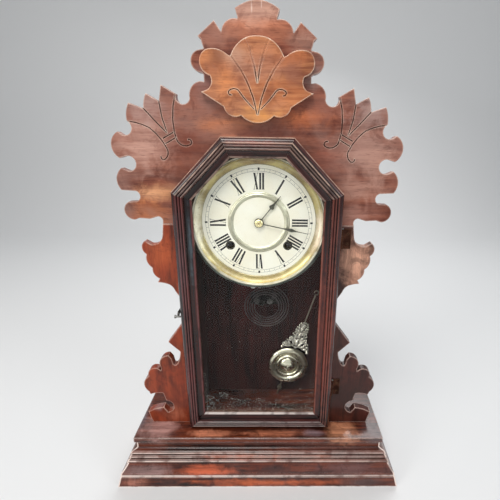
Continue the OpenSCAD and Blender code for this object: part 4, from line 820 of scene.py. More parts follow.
def door_marks(on_crests, narrow, at_glass, at_edge):
    """Edge marks of the door's section, pale from wear and painted highlight: each reed's crest by a power, the edge
    at the glass, the outer edge; painted shade stays in the hollows.
    """
    share = turning_share(door_section, reach=0.5 * mm)
    reed = np.clip((inset - reed_start) // reed_w, 0, reeds - 1).astype(int)
    share = np.where(on_reeds & (reed_crest > 0), np.array(on_crests)[reed] * reed_crest ** narrow, share)
    share = np.where(at_sight, np.maximum(share, at_glass), share)
    return np.where(outer_edge, np.maximum(share, at_edge), share)


# the stiles' reeds are worn red, with fainter painted highlight at the glass and the outer edge; the near-white lines
# on the rails' and the foot's reed crests and at the glass are painted highlights
stile_marks = door_marks((0.6, 0.45, 0.7), 3, 0.6, 0.3)
top_marks = door_marks((0.95, 0.25, 0.45), 4, 0.4, 0.8)
foot_marks = door_marks((0.5, 0.25, 0.55), 3, 0.85, 0.3)
stile_look = {"deep": (6, 4, 5), "body": (34, 14, 13), "light": (92, 34, 28), "pale_edges": 0.9, "gloss": 0.1,
              "painted_sheen": (0.1, (84, 62, 60)), "lacquer": 0.42, "reach": 0.05 * mm}
# on the rails and the foot the near-white edge colour is painted highlight, and the painted sheen a grey glare
rail_look = {**stile_look, "edge_marks": (228, 192, 172), "painted_sheen": (0.2, (104, 74, 66))}
foot_look = {**rail_look, "edge_marks": (226, 212, 206), "painted_sheen": (0.1, (96, 60, 54)), "gloss": 0.2, "lacquer": 0.3}
lean = math.atan2(door_top - shoulder_z, door_half - door_top_half)
ledge_x = (door_half - reeds_end) / mm - 3.5
right_stile_wood = wood("door_wood_right", **stile_look, turn=along_z, edge_marks=(150, 84, 68), patches=on_face(
    door_front_y, [(80, 200, 20, 140, (124, 50, 34), 0.8)]))
# on the left stile the blue-grey streak along the ledge, at height 320, is a painted sheen
left_stile_wood = wood("door_wood_left", **stile_look, turn=along_z, edge_marks=(134, 76, 74), patches=on_face(
    door_front_y, [(-90, 300, 12, 70, (80, 60, 66), 0.7), (-ledge_x, 320, 3.5, 60, (88, 110, 120), 0.8),
                   (-88, 150, 8, 60, (98, 36, 36), 0.7)]))
top_wood = wood("door_wood_level", **rail_look, patches=on_face(
    door_front_y, [(0, door_top / mm - 6, 50, 4, (150, 70, 62), 0.8)]))
foot_wood = wood("door_wood_foot", **foot_look)
left_shoulder_wood = wood("door_wood_left_lean", **rail_look, turn=(0, lean, 0))
right_shoulder_wood = wood("door_wood_right_lean", **rail_look, turn=(0, -lean, 0))
door_grid = carried(door_section, door_outline, closed=True)
door_grid = np.concatenate([door_grid, door_grid[:1]])[:, :, [0, 2, 1]]
door_grid[:, :, 1] = door_back_y - door_grid[:, :, 1]
for index, (name, finish, section_marks) in enumerate((
        ("right_stile", right_stile_wood, stile_marks), ("right_shoulder", right_shoulder_wood, top_marks),
        ("top_rail", top_wood, top_marks), ("left_shoulder", left_shoulder_wood, top_marks),
        ("left_stile", left_stile_wood, stile_marks), ("bottom_rail", foot_wood, foot_marks))):
    member(name + "_moulding", door_grid, section_marks, index, "door", "door_wood", finish, "door_" + name, gap=0.12 * mm)
strip_wood = wood("strip_wood", (40, 24, 18), (74, 46, 34), (96, 62, 46), turn=along_z, gloss=0.55)
eased("glazing_strips_cut", "glazing_strips", 0.4, "door", "raw_wood", strip_wood)


# Glass
# A thin old pane behind the moulding's rebate, which lets the lamps' and the room's light through unbent.
# On its back, along the foot and up the sides, flakes are left of a silvered border that has mostly worn away.
def finish_packed(finish, *packed):
    """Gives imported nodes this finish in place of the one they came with."""
    for name in packed:
        nodes[name].data.materials.clear()
        nodes[name].data.materials.append(finish)


glass_tint = (0.99, 1.0, 0.995, 1)
glass, tree = new_material("old_glass")
clear = node(tree, "BsdfPrincipled", {"Base Color": glass_tint, "Roughness": 0.0, "IOR": 1.18,
                                      "Transmission Weight": 1.0})
passing = node(tree, "BsdfTransparent", {"Color": glass_tint})
ray = node(tree, "LightPath").outputs
lighting = worked(tree, "MAXIMUM", ray["Is Shadow Ray"], ray["Is Diffuse Ray"])
shader = node(tree, "MixShader", {0: lighting, 1: clear.outputs[0], 2: passing.outputs[0]})
node(tree, "OutputMaterial", {"Surface": shader.outputs[0]})
finish_packed(glass, "door_glass")


def metal(name, bright, dull, roughness, stain=0.5, scale=60.0, pale_edges=None, patches=()):
    """Metal whose polish goes dull in clouds and specks, darkens with painted shade in its hollows, and shows bright
    where edges are rubbed.
    """
    made, tree = new_material(name)
    place = node(tree, "TexCoord").outputs["Object"]
    edges = edge_and_hollow(tree, place, reach=0.6 * mm)
    clouds = noise(tree, place, scale, 5, 0.6)
    specks = noise(tree, place, scale * 14, 2)
    mask = times(tree, ramped(tree, clouds, 0.38, 0.66), stain)
    colour = patched(tree, mixed(tree, mask, bright, dull), place, patches)
    colour = mixed(tree, times(tree, ramped(tree, specks, 0.62, 0.74), 0.5), colour, dull)
    # painted shade in the hollows
    colour = mixed(tree, times(tree, edges["Hollow_shade"], 0.5), colour, (30, 24, 18))
    if pale_edges:
        colour = mixed(tree, times(tree, edges["Wear"], 0.7), colour, pale_edges)
    rough = worked(tree, "ADD", times(tree, mask, 0.25), roughness)
    bump = node(tree, "Bump", {"Height": specks, "Strength": 0.05, "Distance": 0.1 * mm})
    surfaced(tree, {"Base Color": colour, "Metallic": 1.0, "Roughness": rough, "Normal": bump.outputs[0]})
    return made


silver_leaf = metal("silver_leaf", (252, 252, 246), (222, 220, 212), 0.55, stain=0.4, scale=300)
leaf_gap, leaf_rise, leaf_margin = 0.01 * mm, 0.03 * mm, 1 * mm
leaf_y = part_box("door_glass")[1].y + leaf_gap
sight_half, sight_foot = carried([(rail_w, 0)], door_outline, closed=True)[0, 0, :2]
chance = np.random.default_rng(7)


def strewn(count, low_x, high_x, low, high, crowd):
    """Random places in a strip, low and high in millimetres over the glass's foot, crowded down by a power."""
    return np.stack([chance.uniform(low_x, high_x, count),
                     sight_foot + low * mm + (high - low) * mm * chance.uniform(0, 1, count) ** crowd], -1)


def along_curve(curve, count):
    """Random places beside a curve in millimetres from the foot of the glass's middle."""
    line = traced(curve) * mm + (0, sight_foot)
    places = np.sort(chance.uniform(0, lengths_along(line)[-1], count))
    return at_lengths(line, places) + chance.normal(scale=1 * mm, size=(count, 2))


# rows of dots, two swags and a scroll at each side, then flakes strewn along the foot and the sides
leaf_spots = np.vstack([
    *[along_curve(curve, count) for count, curve in (
        (60, [(-69, 3.6), (69, 3.6)]), (56, [(-66, 10.8), (62, 10.8)]), (40, [(-66, 7.2), (66, 7.2)]),
        (34, [(-53, 30), (-46, 27), (-36, 20, 0.15), (-19, 13, 0.1), (7, 17)]),
        (30, [(-52, 26), (-40, 19, 0.1), (-22, 16, 0.1), (2, 20)]),
        (34, [(2, 15, -0.12), (26, 17, 0.1), (39, 25, -0.1), (52, 34, 0.1), (62, 38)]),
        (30, [(-71, 4, -0.4), (-66, 12, 0.9), (-62, 20, -0.8), (-68, 24)]), (20, [(-72, 24, -0.1), (-71, 60)]),
        (28, [(70, 4, 0.3), (60, 12, -0.8), (64, 22, 0.6), (70, 30)]), (16, [(70, 30, 0.2), (69, 62)]))],
    *[strewn(*strip) for strip in (
        (420, -sight_half, sight_half, 0, 20, 1.7), (60, -sight_half, -sight_half + 12 * mm, 3, 24, 1.0),
        (40, -53 * mm, -42 * mm, 22, 30, 1.0), (60, -sight_half, -sight_half + 4 * mm, 0, 60, 1.2),
        (40, sight_half - 4 * mm, sight_half, 0, 60, 1.2), (30, -sight_half, sight_half, 0, 150, 1.0))],
])
inside = np.abs(leaf_spots[:, 0]) < sight_half + leaf_margin
leaf_spots = leaf_spots[inside & (leaf_spots[:, 1] > sight_foot - leaf_margin)]
# each flake is a low dome on the pane: a rim of six uneven radii round its place, and a peak
count = len(leaf_spots)
size = chance.uniform(0.15, 0.5, (count, 1)) * mm
angle = np.radians(np.arange(0, 360, 60))[None, :] + chance.uniform(0, 1, (count, 1))
radius = size * chance.uniform(0.45, 1.0, (count, 6))
stretch = chance.uniform(0.5, 1.0, (count, 1))
rim = np.stack([leaf_spots[:, :1] + radius * np.cos(angle), np.full((count, 6), leaf_y),
                leaf_spots[:, 1:] + radius * np.sin(angle) * stretch], -1)
peak = np.stack([leaf_spots[:, 0], np.full(count, leaf_y + leaf_rise), leaf_spots[:, 1]], -1)[:, None]
start, corner = 7 * np.arange(count)[:, None], np.arange(6)[None, :]
sides = np.stack([start + corner, start + (corner + 1) % 6, np.broadcast_to(start + 6, (count, 6))], -1)
piece("silver_border", np.concatenate([rim, peak], 1), sides.reshape(-1, 3).tolist() + (start + corner).tolist(),
      "door", "glass", silver_leaf)


# Door furniture
# Two butt hinges on the right, let in and stained over with the case, each leaf held by two slotted screws.
# On the left an iron hook turns on a screw in the case and drops over a pin in the door's edge.
hinge_brass = metal("hinge_brass", (84, 54, 42), (50, 31, 26), 0.5, stain=0.9, scale=90, pale_edges=(110, 84, 62))
steel = metal("steel", (158, 158, 154), (96, 92, 86), 0.34, stain=0.6, scale=120)
iron = metal("iron", (62, 60, 58), (36, 32, 30), 0.5, stain=0.8, scale=110, pale_edges=(120, 116, 110))
for fitting in (("case_leaves_pressed", "case_hinge_leaves", 0.15, "case", "brass", hinge_brass),
                ("door_leaves_pressed", "door_hinge_leaves", 0.15, "door", "brass", hinge_brass),
                ("hinge_pins_turned", "hinge_pins", 0.12, "case", "steel", steel),
                ("latch_hook_forged", "latch_hook", 0.3, "latch", "dark_steel", iron),
                ("latch_screw_turned", "latch_screw", 0.25, "case", "steel", steel),
                ("catch_pin_turned", "catch_pin", 0.25, "door", "steel", steel)):
    eased(*fitting)

leaf_low, leaf_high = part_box("case_hinge_leaves")
hinge_h, leaf_t, knuckle_r, leaf_w = 24 * mm, 1 * mm, 2 * mm, 11 * mm
screw_x = leaf_low.x + knuckle_r + leaf_w * 0.65
screw_r, slot_w, slot_d = 2.0 * mm, 0.5 * mm, 0.35 * mm
head_rise, rim_depth, rear_depth = 0.12 * mm, 0.05 * mm, 0.6 * mm


def slotted_head(centre, front, turn):
    """Countersunk screw head: a disc whose rim slopes back, and whose face drops along a slot through its middle.

    A point at radius r and angle a stands at the face unless the sine of a times r is inside the slot.
    """
    radius = np.array([0, 0.12, 0.24, 0.4, 0.6, 0.8, 0.92, 1, 0.96, 0])[:, None] * screw_r
    angle = np.radians(np.arange(0, 360, 7.5))
    along, over = radius * np.cos(angle), radius * np.sin(angle)
    depth = np.where(np.abs(over) < slot_w / 2, slot_d, 0.0) - head_rise
    depth[7], depth[8:] = rim_depth, rear_depth
    return np.stack([centre[0] + (along * math.cos(turn) - over * math.sin(turn)), front + depth,
                     centre[1] + (along * math.sin(turn) + over * math.cos(turn))], -1)


heads = [slotted_head((screw_x, leaf_end + way * share * hinge_h), leaf_high.y - leaf_t, turn * way)
         for leaf_end, way in ((leaf_low.z, 1), (leaf_high.z, -1)) for share, turn in ((0.25, 0.4), (0.75, 1.9))]
piece("hinge_screws", *joined([(head, grid_faces(*head.shape[:2], wrap_columns=True)) for head in heads]), "case",
      "brass", hinge_brass)


# Dial
# A flat zinc pan nailed to blocks in the case, a printed paper on it with a raised metal ring, and over the
# paper's edge a spun brass bezel, concave, with a rolled lip.
zinc = metal("zinc", (112, 116, 108), (66, 70, 64), 0.45, stain=0.7, scale=45)
ring_metal = metal("ring_metal", (208, 206, 184), (156, 152, 130), 0.36, stain=0.6, scale=60)
bezel_low, bezel_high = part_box("dial_bezel")
bezel_r = bezel_high.x
edge = bezel_r / mm
gilt_brass = metal(
    "gilt_brass", (192, 178, 124), (136, 118, 88), 0.42, stain=0.8, scale=32, pale_edges=(214, 214, 202),
    # the dark patch at the top is painted shade and dark reflection under the door's rail, and the pale patches at
    # the left and the right are painted reflections
    patches=on_face(bezel_low.y, [
        (0, edge, 50, 20, (120, 92, 72), 0.85), (-edge, 0, 24, 60, (246, 242, 222), 0.95),
        (edge, -10, 20, 45, (232, 216, 200), 0.8), (-40, -edge, 30, 20, (176, 138, 86), 0.7),
        (10, -edge, 50, 20, (160, 142, 94), 0.8)], (bezel_low.z + bezel_high.z) / 2))

# enamelled card: cream, yellower in clouds, with fine specks of age, and darker and yellower in its hollows as
# painted shade
card, tree = new_material("dial_card")
place = node(tree, "TexCoord").outputs["Object"]
clouds, specks = noise(tree, place, 26, 4), noise(tree, place, 900, 2)
colour = mixed(tree, ramped(tree, clouds, 0.35, 0.7, 0, 0.8), (253, 250, 235), (246, 239, 216))
colour = mixed(tree, ramped(tree, specks, 0.66, 0.76, 0, 0.5), colour, (190, 172, 132))
edges = node(tree, "Group", {"Vector": place}, node_tree=edge_group).outputs
colour = mixed(tree, times(tree, edges["Hollow_shade"], 0.5), colour, (176, 158, 116))
bump = node(tree, "Bump", {"Height": specks, "Strength": 0.04, "Distance": 0.1 * mm})
surfaced(tree, {"Base Color": colour, "Roughness": 0.45, "Normal": bump.outputs[0], "Coat Weight": 0.15,
                "Coat Roughness": 0.3})

# printer's black, thinner in places, where the card shows through it a little
ink, tree = new_material("printed_ink")
thin = noise(tree, node(tree, "TexCoord").outputs["Object"], 420, 4)
surfaced(tree, {"Base Color": mixed(tree, ramped(tree, thin, 0.5, 0.75), (18, 18, 18), (60, 58, 52)),
                "Roughness": 0.5})

pan_low, pan_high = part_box("dial_pan")
pan_front, pan_back = pan_low.y, pan_high.y
card_t, card_r = 0.3 * mm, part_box("dial_paper")[1].x
card_front = pan_front - card_t
dial_z = (pan_low.z + pan_high.z) / 2
dial_centre = (0, dial_z)
finish_packed(zinc, "dial_pan")
finish_packed(card, "dial_paper")


def spun(section, centre, turns):
    """Grid of a section (radius, y) turned about a line along y through the centre (x, z), in even steps."""
    section = np.asarray(section, float)
    angle = 2 * np.pi * np.arange(turns)[:, None] / turns
    depth = np.broadcast_to(section[:, 1], (turns, len(section)))
    return np.stack([centre[0] + section[:, 0] * np.sin(angle), depth, centre[1] + section[:, 0] * np.cos(angle)], -1)


def ringed(grid):
    """The grid with its faces, joined round both ways."""
    return grid, grid_faces(*grid.shape[:2], wrap_rows=True, wrap_columns=True)


def turned(name, section, turns, body, slot, finish, replaced=(), edge_marks=None):
    """Solid of a closed section turned about the dial's axis, with the edge marks of each of its points."""
    share = None if edge_marks is None else np.tile(edge_marks, turns)
    piece(name, *ringed(spun(section, dial_centre, turns)), body, slot, finish, replaced, edge_marks=share)


bezel_rise, bezel_gap = 6 * mm, 0.2 * mm
lip_t, lip_w, lip_h = 0.6 * mm, 2.3 * mm, 1.2 * mm
bezel_front = pan_front - bezel_rise
bezel_in = card_r + bezel_gap
bezel_section = traced([
    (bezel_in, pan_front - 0.8 * mm), (bezel_in + 0.5 * mm, pan_front - 1.25 * mm, 0.3),
    (bezel_in + 1.3 * mm, pan_front - 1.2 * mm, 0.2), (bezel_r - 3 * mm, bezel_front + 0.4 * mm),
    (bezel_r - 2.7 * mm, bezel_front + 1.1 * mm), (bezel_r - 2.2 * mm, bezel_front + 0.9 * mm, -0.65),
    (bezel_r, bezel_front + 0.9 * mm), (bezel_r, pan_front), (bezel_r - lip_t, pan_front),
    (bezel_r - lip_t, bezel_front + 2.6 * lip_t), (bezel_r - 3 * mm, bezel_front + 2.6 * lip_t, -0.15),
    (bezel_in, pan_front)
], step=8)
on_lip = (bezel_section[:, 0] > bezel_r - lip_w) & (bezel_section[:, 1] < bezel_front + lip_h)
turned("bezel_spun", bezel_section, 180, "case", "gilt_brass", gilt_brass, ("dial_bezel",),
       edge_marks=np.where(on_lip, 1.0, 0.0))

# the ring is a crown with a groove along it, at a share of its width, and its back is let into the card
ring_in, ring_out, ring_rise, ring_gap, ring_sunk = 29.4 * mm, 36 * mm, 1.4 * mm, 0.03 * mm, 0.1 * mm
groove_d, groove_at, groove_w = 0.5 * mm, 0.68, 0.09
share = np.linspace(0, 1, 33)
ring_groove = groove_d * np.exp(-((share - groove_at) / groove_w) ** 2)
ring_face = card_front - ring_gap - ring_rise * np.sin(np.pi * share) ** 0.7 + ring_groove
ring_section = np.stack([ring_in + (ring_out - ring_in) * share, ring_face], -1)
ring_section = np.vstack([ring_section, [(ring_out, card_front + ring_sunk), (ring_in, card_front + ring_sunk)]])
turned("dial_ring", ring_section, 144, "case", "gilt_brass", ring_metal)

nail_x, nail_z = 77.2 * mm, 19 * mm
nail_section = traced([(0, pan_front - 0.7 * mm, 0.35), (1.3 * mm, pan_front), (0.5 * mm, pan_front + 0.6 * mm),
                       (0, pan_front + 0.6 * mm)], step=12)
nails = [ringed(spun(nail_section, (side * nail_x, dial_z + row * nail_z), 16))
         for side in (-1, 1) for row in (-1, 1)]
piece("dial_nails", *joined(nails), "case", "steel", steel)

# black eyelets line the two winding holes, their rolled rims lying on the card; their black is painted shade,
# standing in for the dark inside the holes
blackened = metal("blackened", (54, 52, 46), (24, 23, 20), 0.24, stain=0.6, scale=220, pale_edges=(96, 92, 80))
eyelet_in, eyelet_out, eyelet_rim = 4.2 * mm, 4.5 * mm, 5.5 * mm
rim_rise, rim_gap = 0.25 * mm, 0.02 * mm
eyelet_section = traced([
    (eyelet_in, pan_back), (eyelet_in, card_front - rim_rise, -0.5), (eyelet_rim, card_front - rim_gap),
    (eyelet_out, card_front - rim_gap), (eyelet_out, pan_back), (eyelet_in, pan_back)
], step=12)[:-1]
eyelets = []
for packed in ("time_winding_arbor", "strike_winding_arbor"):
    arbor_low, arbor_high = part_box(packed)
    middle = ((arbor_low.x + arbor_high.x) / 2, (arbor_low.z + arbor_high.z) / 2)
    eyelets.append(ringed(spun(eyelet_section, middle, 64)))
piece("winding_eyelets", *joined(eyelets), "case", "steel", blackened)

# Printing: numerals with their feet to the middle, a minute track, and a bar across it at each hour
numeral_foot, numeral_top = 38.7 * mm, 56.7 * mm
heavy, fine, serif = 2.1 * mm, 0.42 * mm, 1.45 * mm
track_in, track_out, track_line = 58.7 * mm, 61.9 * mm, 0.13 * mm
hour_in, hour_out, hour_w, minute_w = track_in + 1 * mm, track_out + 0.8 * mm, 2.0 * mm, 0.22 * mm
numerals = ["XII", "I", "II", "III", "IIII", "V", "VI", "VII", "VIII", "IX", "X", "XI"]
half_width = {"I": 1.65 * mm, "V": 2.8 * mm, "X": 3.3 * mm}
# strokes as (place at the foot, place at the top, width)
letter_strokes = {
    "I": [(0, 0, heavy)],
    "V": [(0.3 * mm, -1.55 * mm, heavy), (0.5 * mm, 2.0 * mm, fine)],
    "X": [(1.55 * mm, -1.55 * mm, heavy), (-1.9 * mm, 1.9 * mm, fine)],
}


def bar(foot_u, top_u, foot_v, top_v, width):
    """Four corners of a stroke between two heights, cut level at both ends."""
    half = width / 2
    return [(foot_u - half, foot_v), (foot_u + half, foot_v), (top_u + half, top_v), (top_u - half, top_v)]


bars, bar_angles = [], []
for hour, numeral in enumerate(numerals):
    place = -sum(half_width[letter] for letter in numeral)
    for letter in numeral:
        place += half_width[letter]
        for foot_u, top_u, width in letter_strokes[letter]:
            bars.append(bar(place + foot_u, place + top_u, numeral_foot, numeral_top, width))
            reach = 2 * serif * (1 if width == heavy else 0.7)
            for u, v in [(top_u, numeral_top), (foot_u, numeral_foot)][:1 if letter == "V" else 2]:
                bars.append(bar(place + u, place + u, v - fine / 2, v + fine / 2, reach))
        place += half_width[letter]
    bars.append(bar(0, 0, hour_in, hour_out, hour_w))
    bar_angles += [2 * math.pi * hour / 12] * (len(bars) - len(bar_angles))
for minute in range(60):
    if minute % 5:
        bars.append(bar(0, 0, track_in, track_out, minute_w))
        bar_angles.append(2 * math.pi * minute / 60)
bars, bar_angles = np.array(bars), np.array(bar_angles)[:, None]
flat_x = bars[:, :, 0] * np.cos(bar_angles) + bars[:, :, 1] * np.sin(bar_angles)
flat_z = dial_z + bars[:, :, 1] * np.cos(bar_angles) - bars[:, :, 0] * np.sin(bar_angles)
ink_rise, ink_sunk = 0.03 * mm, 0.04 * mm
ink_front, ink_back = card_front - ink_rise, card_front + ink_sunk
slabs = np.stack([np.stack([flat_x, np.full_like(flat_x, depth), flat_z], -1) for depth in (ink_front, ink_back)], 1)
slab_faces = [(3, 2, 1, 0), (4, 5, 6, 7), (0, 1, 5, 4), (1, 2, 6, 5), (2, 3, 7, 6), (3, 0, 4, 7)]
circles = [ringed(spun([(radius - track_line, ink_front), (radius + track_line, ink_front),
                        (radius + track_line, ink_back), (radius - track_line, ink_back)], dial_centre, 180))
           for radius in (track_in, track_out)]
piece("dial_printing", *joined([(slab, slab_faces) for slab in slabs] + circles), "case", "dial_paper", ink)


# Hands
# Blued steel stamped thin: the hour hand a slim stem with a round swell and a long point, the minute hand with
# a small leaf. A domed brass collet holds them on the centre arbor.
hand_steel = metal("hand_steel", (100, 100, 90), (66, 66, 58), 0.36, stain=0.7, scale=150, pale_edges=(150, 146, 134))
collet_brass = metal("collet_brass", (250, 236, 180), (214, 192, 132), 0.3, stain=0.3, scale=160,
                     pale_edges=(255, 250, 225))
hand_arris, beyond = 0.12 * mm, 1 * mm


def hand(packed, length, half, boss_r, bore_r, degrees):
    """A round boss and a blade, turned clockwise by the degrees and bored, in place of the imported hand.

    The blade is mirrored from half of it: distance from its middle in millimetres, share of the length, bulge.
    """
    stem, angle = half[0][0] * mm, math.radians(degrees)
    lift = math.sqrt(boss_r ** 2 - stem ** 2)
    left_side = traced([(-stem, lift), *[(-out * mm, length * share, *bulge) for out, share, *bulge in half[1:]]],
                       step=5)
    sweep = 2 * math.pi - 2 * math.asin(stem / boss_r)
    boss = traced([(stem, lift, math.tan(sweep / 4)), (-stem, lift)], step=8)
    outline = np.vstack([left_side, (left_side[::-1] * (-1, 1))[1:], boss[1:-1]])
    spin = np.array([[math.cos(angle), -math.sin(angle)], [math.sin(angle), math.cos(angle)]])
    front, back = (corner.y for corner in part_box(packed))
    points, faces = board_shell(outline @ spin + dial_centre, front, back, hand_arris)
    made = piece(packed + "_stamped", points, faces, packed, "blued_steel", hand_steel, (packed,), crease=30)
    bore = [(0, front - beyond), (bore_r, front - beyond), (bore_r, back + beyond), (0, back + beyond)]
    cut_from(made, *ringed(spun(bore, dial_centre, 32)))


hand("hour_hand", 40 * mm, [
    (0.6, 0), (0.6, 0.53), (1.7, 0.545, 0.62), (2.3, 0.63, -0.1), (0.85, 0.8), (0.3, 1), (0, 1)
], boss_r=5.7 * mm, bore_r=2.4 * mm, degrees=38.5)
hand("minute_hand", card_r - 7 * mm, [
    (0.65, 0), (0.65, 0.53), (2.1, 0.63, 0.15), (1.5, 0.7, -0.08), (0.5, 0.8), (0.26, 1), (0, 1)
], boss_r=2.85 * mm, bore_r=1.1 * mm, degrees=102)
collet_front, collet_back = (corner.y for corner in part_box("hand_collet"))
turned("collet_turned", traced([
    (1.1 * mm, collet_back), (1.1 * mm, collet_front), (1.9 * mm, collet_front, -0.3),
    (2.2 * mm, collet_front + 0.45 * mm), (2.5 * mm, collet_front + 0.45 * mm),
    (2.7 * mm, collet_front + 0.2 * mm, -0.3), (3.9 * mm, collet_front + 0.35 * mm, -0.2),
    (4.4 * mm, collet_back - 0.3 * mm), (4.7 * mm, collet_back - 0.2 * mm), (4.7 * mm, collet_back),
    (1.1 * mm, collet_back)
], step=10), 64, "minute_hand", "brass", collet_brass, ("hand_collet",))


# Movement
# Two brass plates on pillars hold brass wheels on steel arbors, two mainsprings and the strike's hammer.
# The brass has gone brown; the verge, the pendulum's leader and the hammer are still bright.
clock_brass = metal("clock_brass", (196, 166, 104), (126, 98, 60), 0.34, stain=0.8, scale=50, pale_edges=(226, 204, 150))
spring_steel = metal("spring_steel", (96, 98, 106), (58, 54, 54), 0.32, stain=0.6, scale=80)
arbor_steel = metal("arbor_steel", (172, 172, 170), (110, 104, 98), 0.26, stain=0.4, scale=140)
finish_packed(clock_brass, "front_plate", "back_plate", "plate_pillars", "centre_arbor", "hour_wheel",
              "minute_wheel", "centre_wheel", "second_wheel", "fourth_wheel", "escape_wheel", "time_great_wheel",
              "strike_great_wheel", "hammer_wheel", "fly")
finish_packed(spring_steel, "mainsprings")
finish_packed(iron, "time_winding_arbor", "strike_winding_arbor")
finish_packed(arbor_steel, "verge", "pendulum_leader", "strike_hammer")


# Gong
# A coil of blued wire wound in one plane, its inner end bent into an iron block on a foot that is screwed to
# the backboard.
gong_wire = metal("gong_wire", (96, 88, 88), (50, 42, 42), 0.3, stain=0.4, scale=100)
gong_iron = metal("gong_iron", (116, 114, 110), (62, 58, 56), 0.42, stain=0.7, scale=200)
eased("gong_base_cast", "gong_base", 0.5, "case", "iron", iron)
# each screw's head: radius and distance behind the foot's face in millimetres, bulge
gong_foot_t, gong_screw_z = 3 * mm, 215.6 * mm
gong_foot_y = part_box("gong_base")[1].y - gong_foot_t
head = traced([(radius * mm, gong_foot_y + depth * mm, *bulge) for radius, depth, *bulge in (
    (0, -1.3, 0.1), (1.8, -1), (2.3, -0.2), (3, -0.4, 0.5), (4.2, -0.4), (4.4, 0.3), (0, 0.3))], step=10)
gong_screws = [ringed(spun(head, (x * mm, gong_screw_z), 32)) for x in (-6, 12)]
piece("gong_screws", *joined(gong_screws), "case", "steel", gong_iron)
coil_low, coil_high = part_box("gong_coil")
wire_r, coil_y = (coil_high.y - coil_low.y) / 2, (coil_high.y + coil_low.y) / 2
gong_r, gong_pitch, gong_turns, gong_start = 33 * mm, 3.4 * mm, 4.75, math.radians(157)
gong_centre = np.array([7 * mm, 214.5 * mm])
coil_in = gong_r - wire_r - gong_pitch * gong_turns
bend_r, tail = 4 * mm, 5 * mm


def coil_path():
    """Points (x, z): a straight tail, a quarter bend, then a spiral whose radius grows evenly with its angle."""
    inward = -np.array([math.cos(gong_start), math.sin(gong_start)])
    backward = np.array([math.sin(gong_start), -math.cos(gong_start)])
    bend_at = (bend_r - coil_in) * inward
    swing = np.radians(np.linspace(90, 5, 12))[:, None]
    bend = bend_at - inward * bend_r * np.cos(swing) + backward * bend_r * np.sin(swing)
    angle = np.radians(np.arange(0, 360 * gong_turns + 1, 5))
    radius = coil_in + gong_pitch * angle / (2 * np.pi)
    spiral = radius[:, None] * np.stack([np.cos(gong_start + angle), np.sin(gong_start + angle)], -1)
    return np.vstack([bend_at + backward * bend_r + inward * tail, bend, spiral]) + gong_centre


def wire(path, radius, y, sides=12):
    """Round tube along a path in x and z: each ring lies across the path, its ends are closed flat."""
    way = np.gradient(path, axis=0)
    way /= np.linalg.norm(way, axis=1, keepdims=True)
    across = np.stack([-way[:, 1], way[:, 0]], -1)
    angle = 2 * np.pi * np.arange(sides) / sides
    flat = path[:, None] + radius * np.cos(angle)[None, :, None] * across[:, None]
    depth = np.broadcast_to(y + radius * np.sin(angle), flat.shape[:2])
    count = len(path)
    faces = grid_faces(count, sides, wrap_columns=True)
    faces += [list(range(sides)), list(range(count * sides - 1, (count - 1) * sides - 1, -1))]
    return np.stack([flat[:, :, 0], depth, flat[:, :, 1]], -1), faces


piece("gong_coil_wound", *wire(coil_path(), wire_r, coil_y), "case", "blued_steel", gong_wire, ("gong_coil",))


# Pendulum
# Off its hook, leaning in the corner of the case: a brass wire, a pressed bob with rings round a pointed dome,
# and above it a cast spray of leaves and berries between two scrolls.
bob_metal = metal("bob_metal", (236, 232, 208), (150, 144, 118), 0.24, stain=0.45, scale=44, pale_edges=(252, 250, 240))
cast_metal = metal("cast_metal", (222, 218, 204), (120, 114, 98), 0.24, stain=0.5, scale=160, pale_edges=(250, 248, 240))
rod_metal = metal("rod_metal", (150, 142, 128), (96, 88, 76), 0.4, stain=0.6, scale=110)
finish_packed(rod_metal, "pendulum_rod")
bob_low, bob_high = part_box("pendulum_bob")
bob_rise, ornament_rise, foot_x = 53 * mm, 84 * mm, 23.8 * mm
pendulum_y = (bob_low.y + bob_high.y) / 2
pendulum_lean = math.asin(((bob_low.x + bob_high.x) / 2 - foot_x) / bob_rise)
foot_z = (bob_low.z + bob_high.z) / 2 - bob_rise * math.cos(pendulum_lean)


def leaning(points):
    """Points (right, y, up) from the pendulum's foot, turned clockwise by its lean and set at the foot."""
    right, depth, up = np.moveaxis(np.asarray(points, float), -1, 0)
    return np.stack([foot_x + right * math.cos(pendulum_lean) + up * math.sin(pendulum_lean), pendulum_y + depth,
                     foot_z + up * math.cos(pendulum_lean) - right * math.sin(pendulum_lean)], -1)


# the pressed bob is a little wider than the solid: radius as a share of its own, distance behind the axis, bulge
bob_wider = 1.05
bob_t, bob_r = bob_high.y - bob_low.y, (bob_high.z - bob_low.z) / 2 * bob_wider
bob_section = traced([
    (0, bob_t / 2), (bob_r - 5 * mm, bob_t / 2, 0.15),
    *[(bob_r * share, depth * mm, *bulge) for share, depth, *bulge in (
        (1, 0.8), (1, -0.2, 0.5), (0.68, -0.9), (0.66, -0.1), (0.63, -0.1), (0.62, -1, 0.7), (0.46, -1.1),
        (0.45, -0.1), (0.42, -0.1), (0.4, -0.9, 0.16))],
    (bob_r * 0.05, -bob_t / 2 + 0.1 * mm, 0.2), (0, -bob_t / 2)
], step=6)
piece("bob_pressed", *ringed(leaning(spun(bob_section, (0, bob_rise), 120))), "pendulum", "pendulum_brass",
      bob_metal, ("pendulum_bob",), crease=40)
eased("spray_plate", "pendulum_ornament", 0.45, "pendulum", "pendulum_brass", cast_metal)
leaf_back, berry_middle = -1.3 * mm, -1.6 * mm


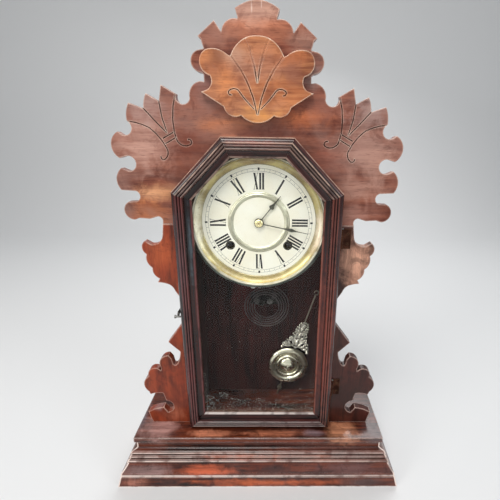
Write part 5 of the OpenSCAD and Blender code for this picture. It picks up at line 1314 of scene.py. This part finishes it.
def leaf(right, up, degrees, length, width, rise=1.7, around=12, along=11):
    """Pointed leaf: a spindle whose half width is a power of a sine, ridged down its middle."""
    s = np.linspace(0, 1, along)[:, None]
    t = 2 * np.pi * np.arange(around)[None, :] / around
    half = width * mm / 2 * np.sin(np.pi * s ** 0.8) ** 0.8
    tall = rise * mm * np.sin(np.pi * s ** 0.9) ** 0.7
    over = half * np.sign(np.cos(t)) * np.abs(np.cos(t)) ** 0.8
    lift = tall * np.sign(np.sin(t)) * np.abs(np.sin(t)) ** 1.3
    on, angle = (s - 0.15) * (length * mm) + 0 * t, math.radians(degrees)
    return np.stack([right * mm + on * math.cos(angle) - over * math.sin(angle), leaf_back - lift,
                     ornament_rise + (up * mm + on * math.sin(angle) + over * math.cos(angle))], -1)


def berry(right, up, radius, around=12, along=7):
    """Ball: rings of a sphere from its front pole to its back pole."""
    s = np.pi * np.linspace(0, 1, along)[:, None]
    t = 2 * np.pi * np.arange(around)[None, :] / around
    radius *= mm
    return np.stack([right * mm + radius * np.sin(s) * np.cos(t), berry_middle - radius * 0.9 * np.cos(s) + 0 * t,
                     ornament_rise + up * mm + radius * np.sin(s) * np.sin(t)], -1)


# leaves as (right, up, direction, length, width), berries as (right, up, radius), in millimetres and degrees
middle_leaves = [(0, 5, 90, 15, 6.5), (0, 18, 90, 13, 5.4), (0, 30, 90, 11, 4.6)]
side_leaves = [(3.2, 5, 62, 13, 4.4), (7.6, 4.4, 38, 10, 4), (3, 17, 52, 10, 3.8), (2, 28, 48, 8, 3.2),
               (12.4, 3.4, 16, 8, 3.4), (8.2, 13, 78, 9, 3.2), (13.2, 8.4, 96, 7, 2.8), (4.4, 33, 80, 7, 2.6),
               (6.2, 20.4, 96, 8, 2.8)]
side_berries = [(2.7, 41.2, 1.5), (5.3, 35.6, 1.5), (5.6, 30.6, 1.3), (8.2, 27.6, 1.6), (8.6, 22.6, 1.4),
                (11.2, 19.2, 1.6), (12.6, 15, 1.5), (15.6, 12.2, 1.6), (17.2, 8, 1.4), (18.4, 2, 2.2),
                (3.9, 25.6, 1.2), (6.2, 11.2, 1.3), (10.8, 9.2, 1.3), (6.4, 40.4, 1.7), (7.6, 36.6, 1.8),
                (8.4, 32.4, 1.7), (5.0, 44.2, 1.6), (1.6, 45.2, 1.5), (19.6, -1.2, 2.5), (10.4, 24.6, 1.5)]
casts = [leaf(*row) for row in middle_leaves]
casts += [leaf(side * right, up, 90 - side * (90 - degrees), length, width)
          for side in (1, -1) for right, up, degrees, length, width in side_leaves]
casts += [berry(side * right, up, radius) for side in (1, -1) for right, up, radius in side_berries]
points, faces = joined([(grid, grid_faces(*grid.shape[:2], wrap_columns=True)) for grid in casts])
piece("spray_cast", leaning(points), faces, "pendulum", "pendulum_brass", cast_metal)
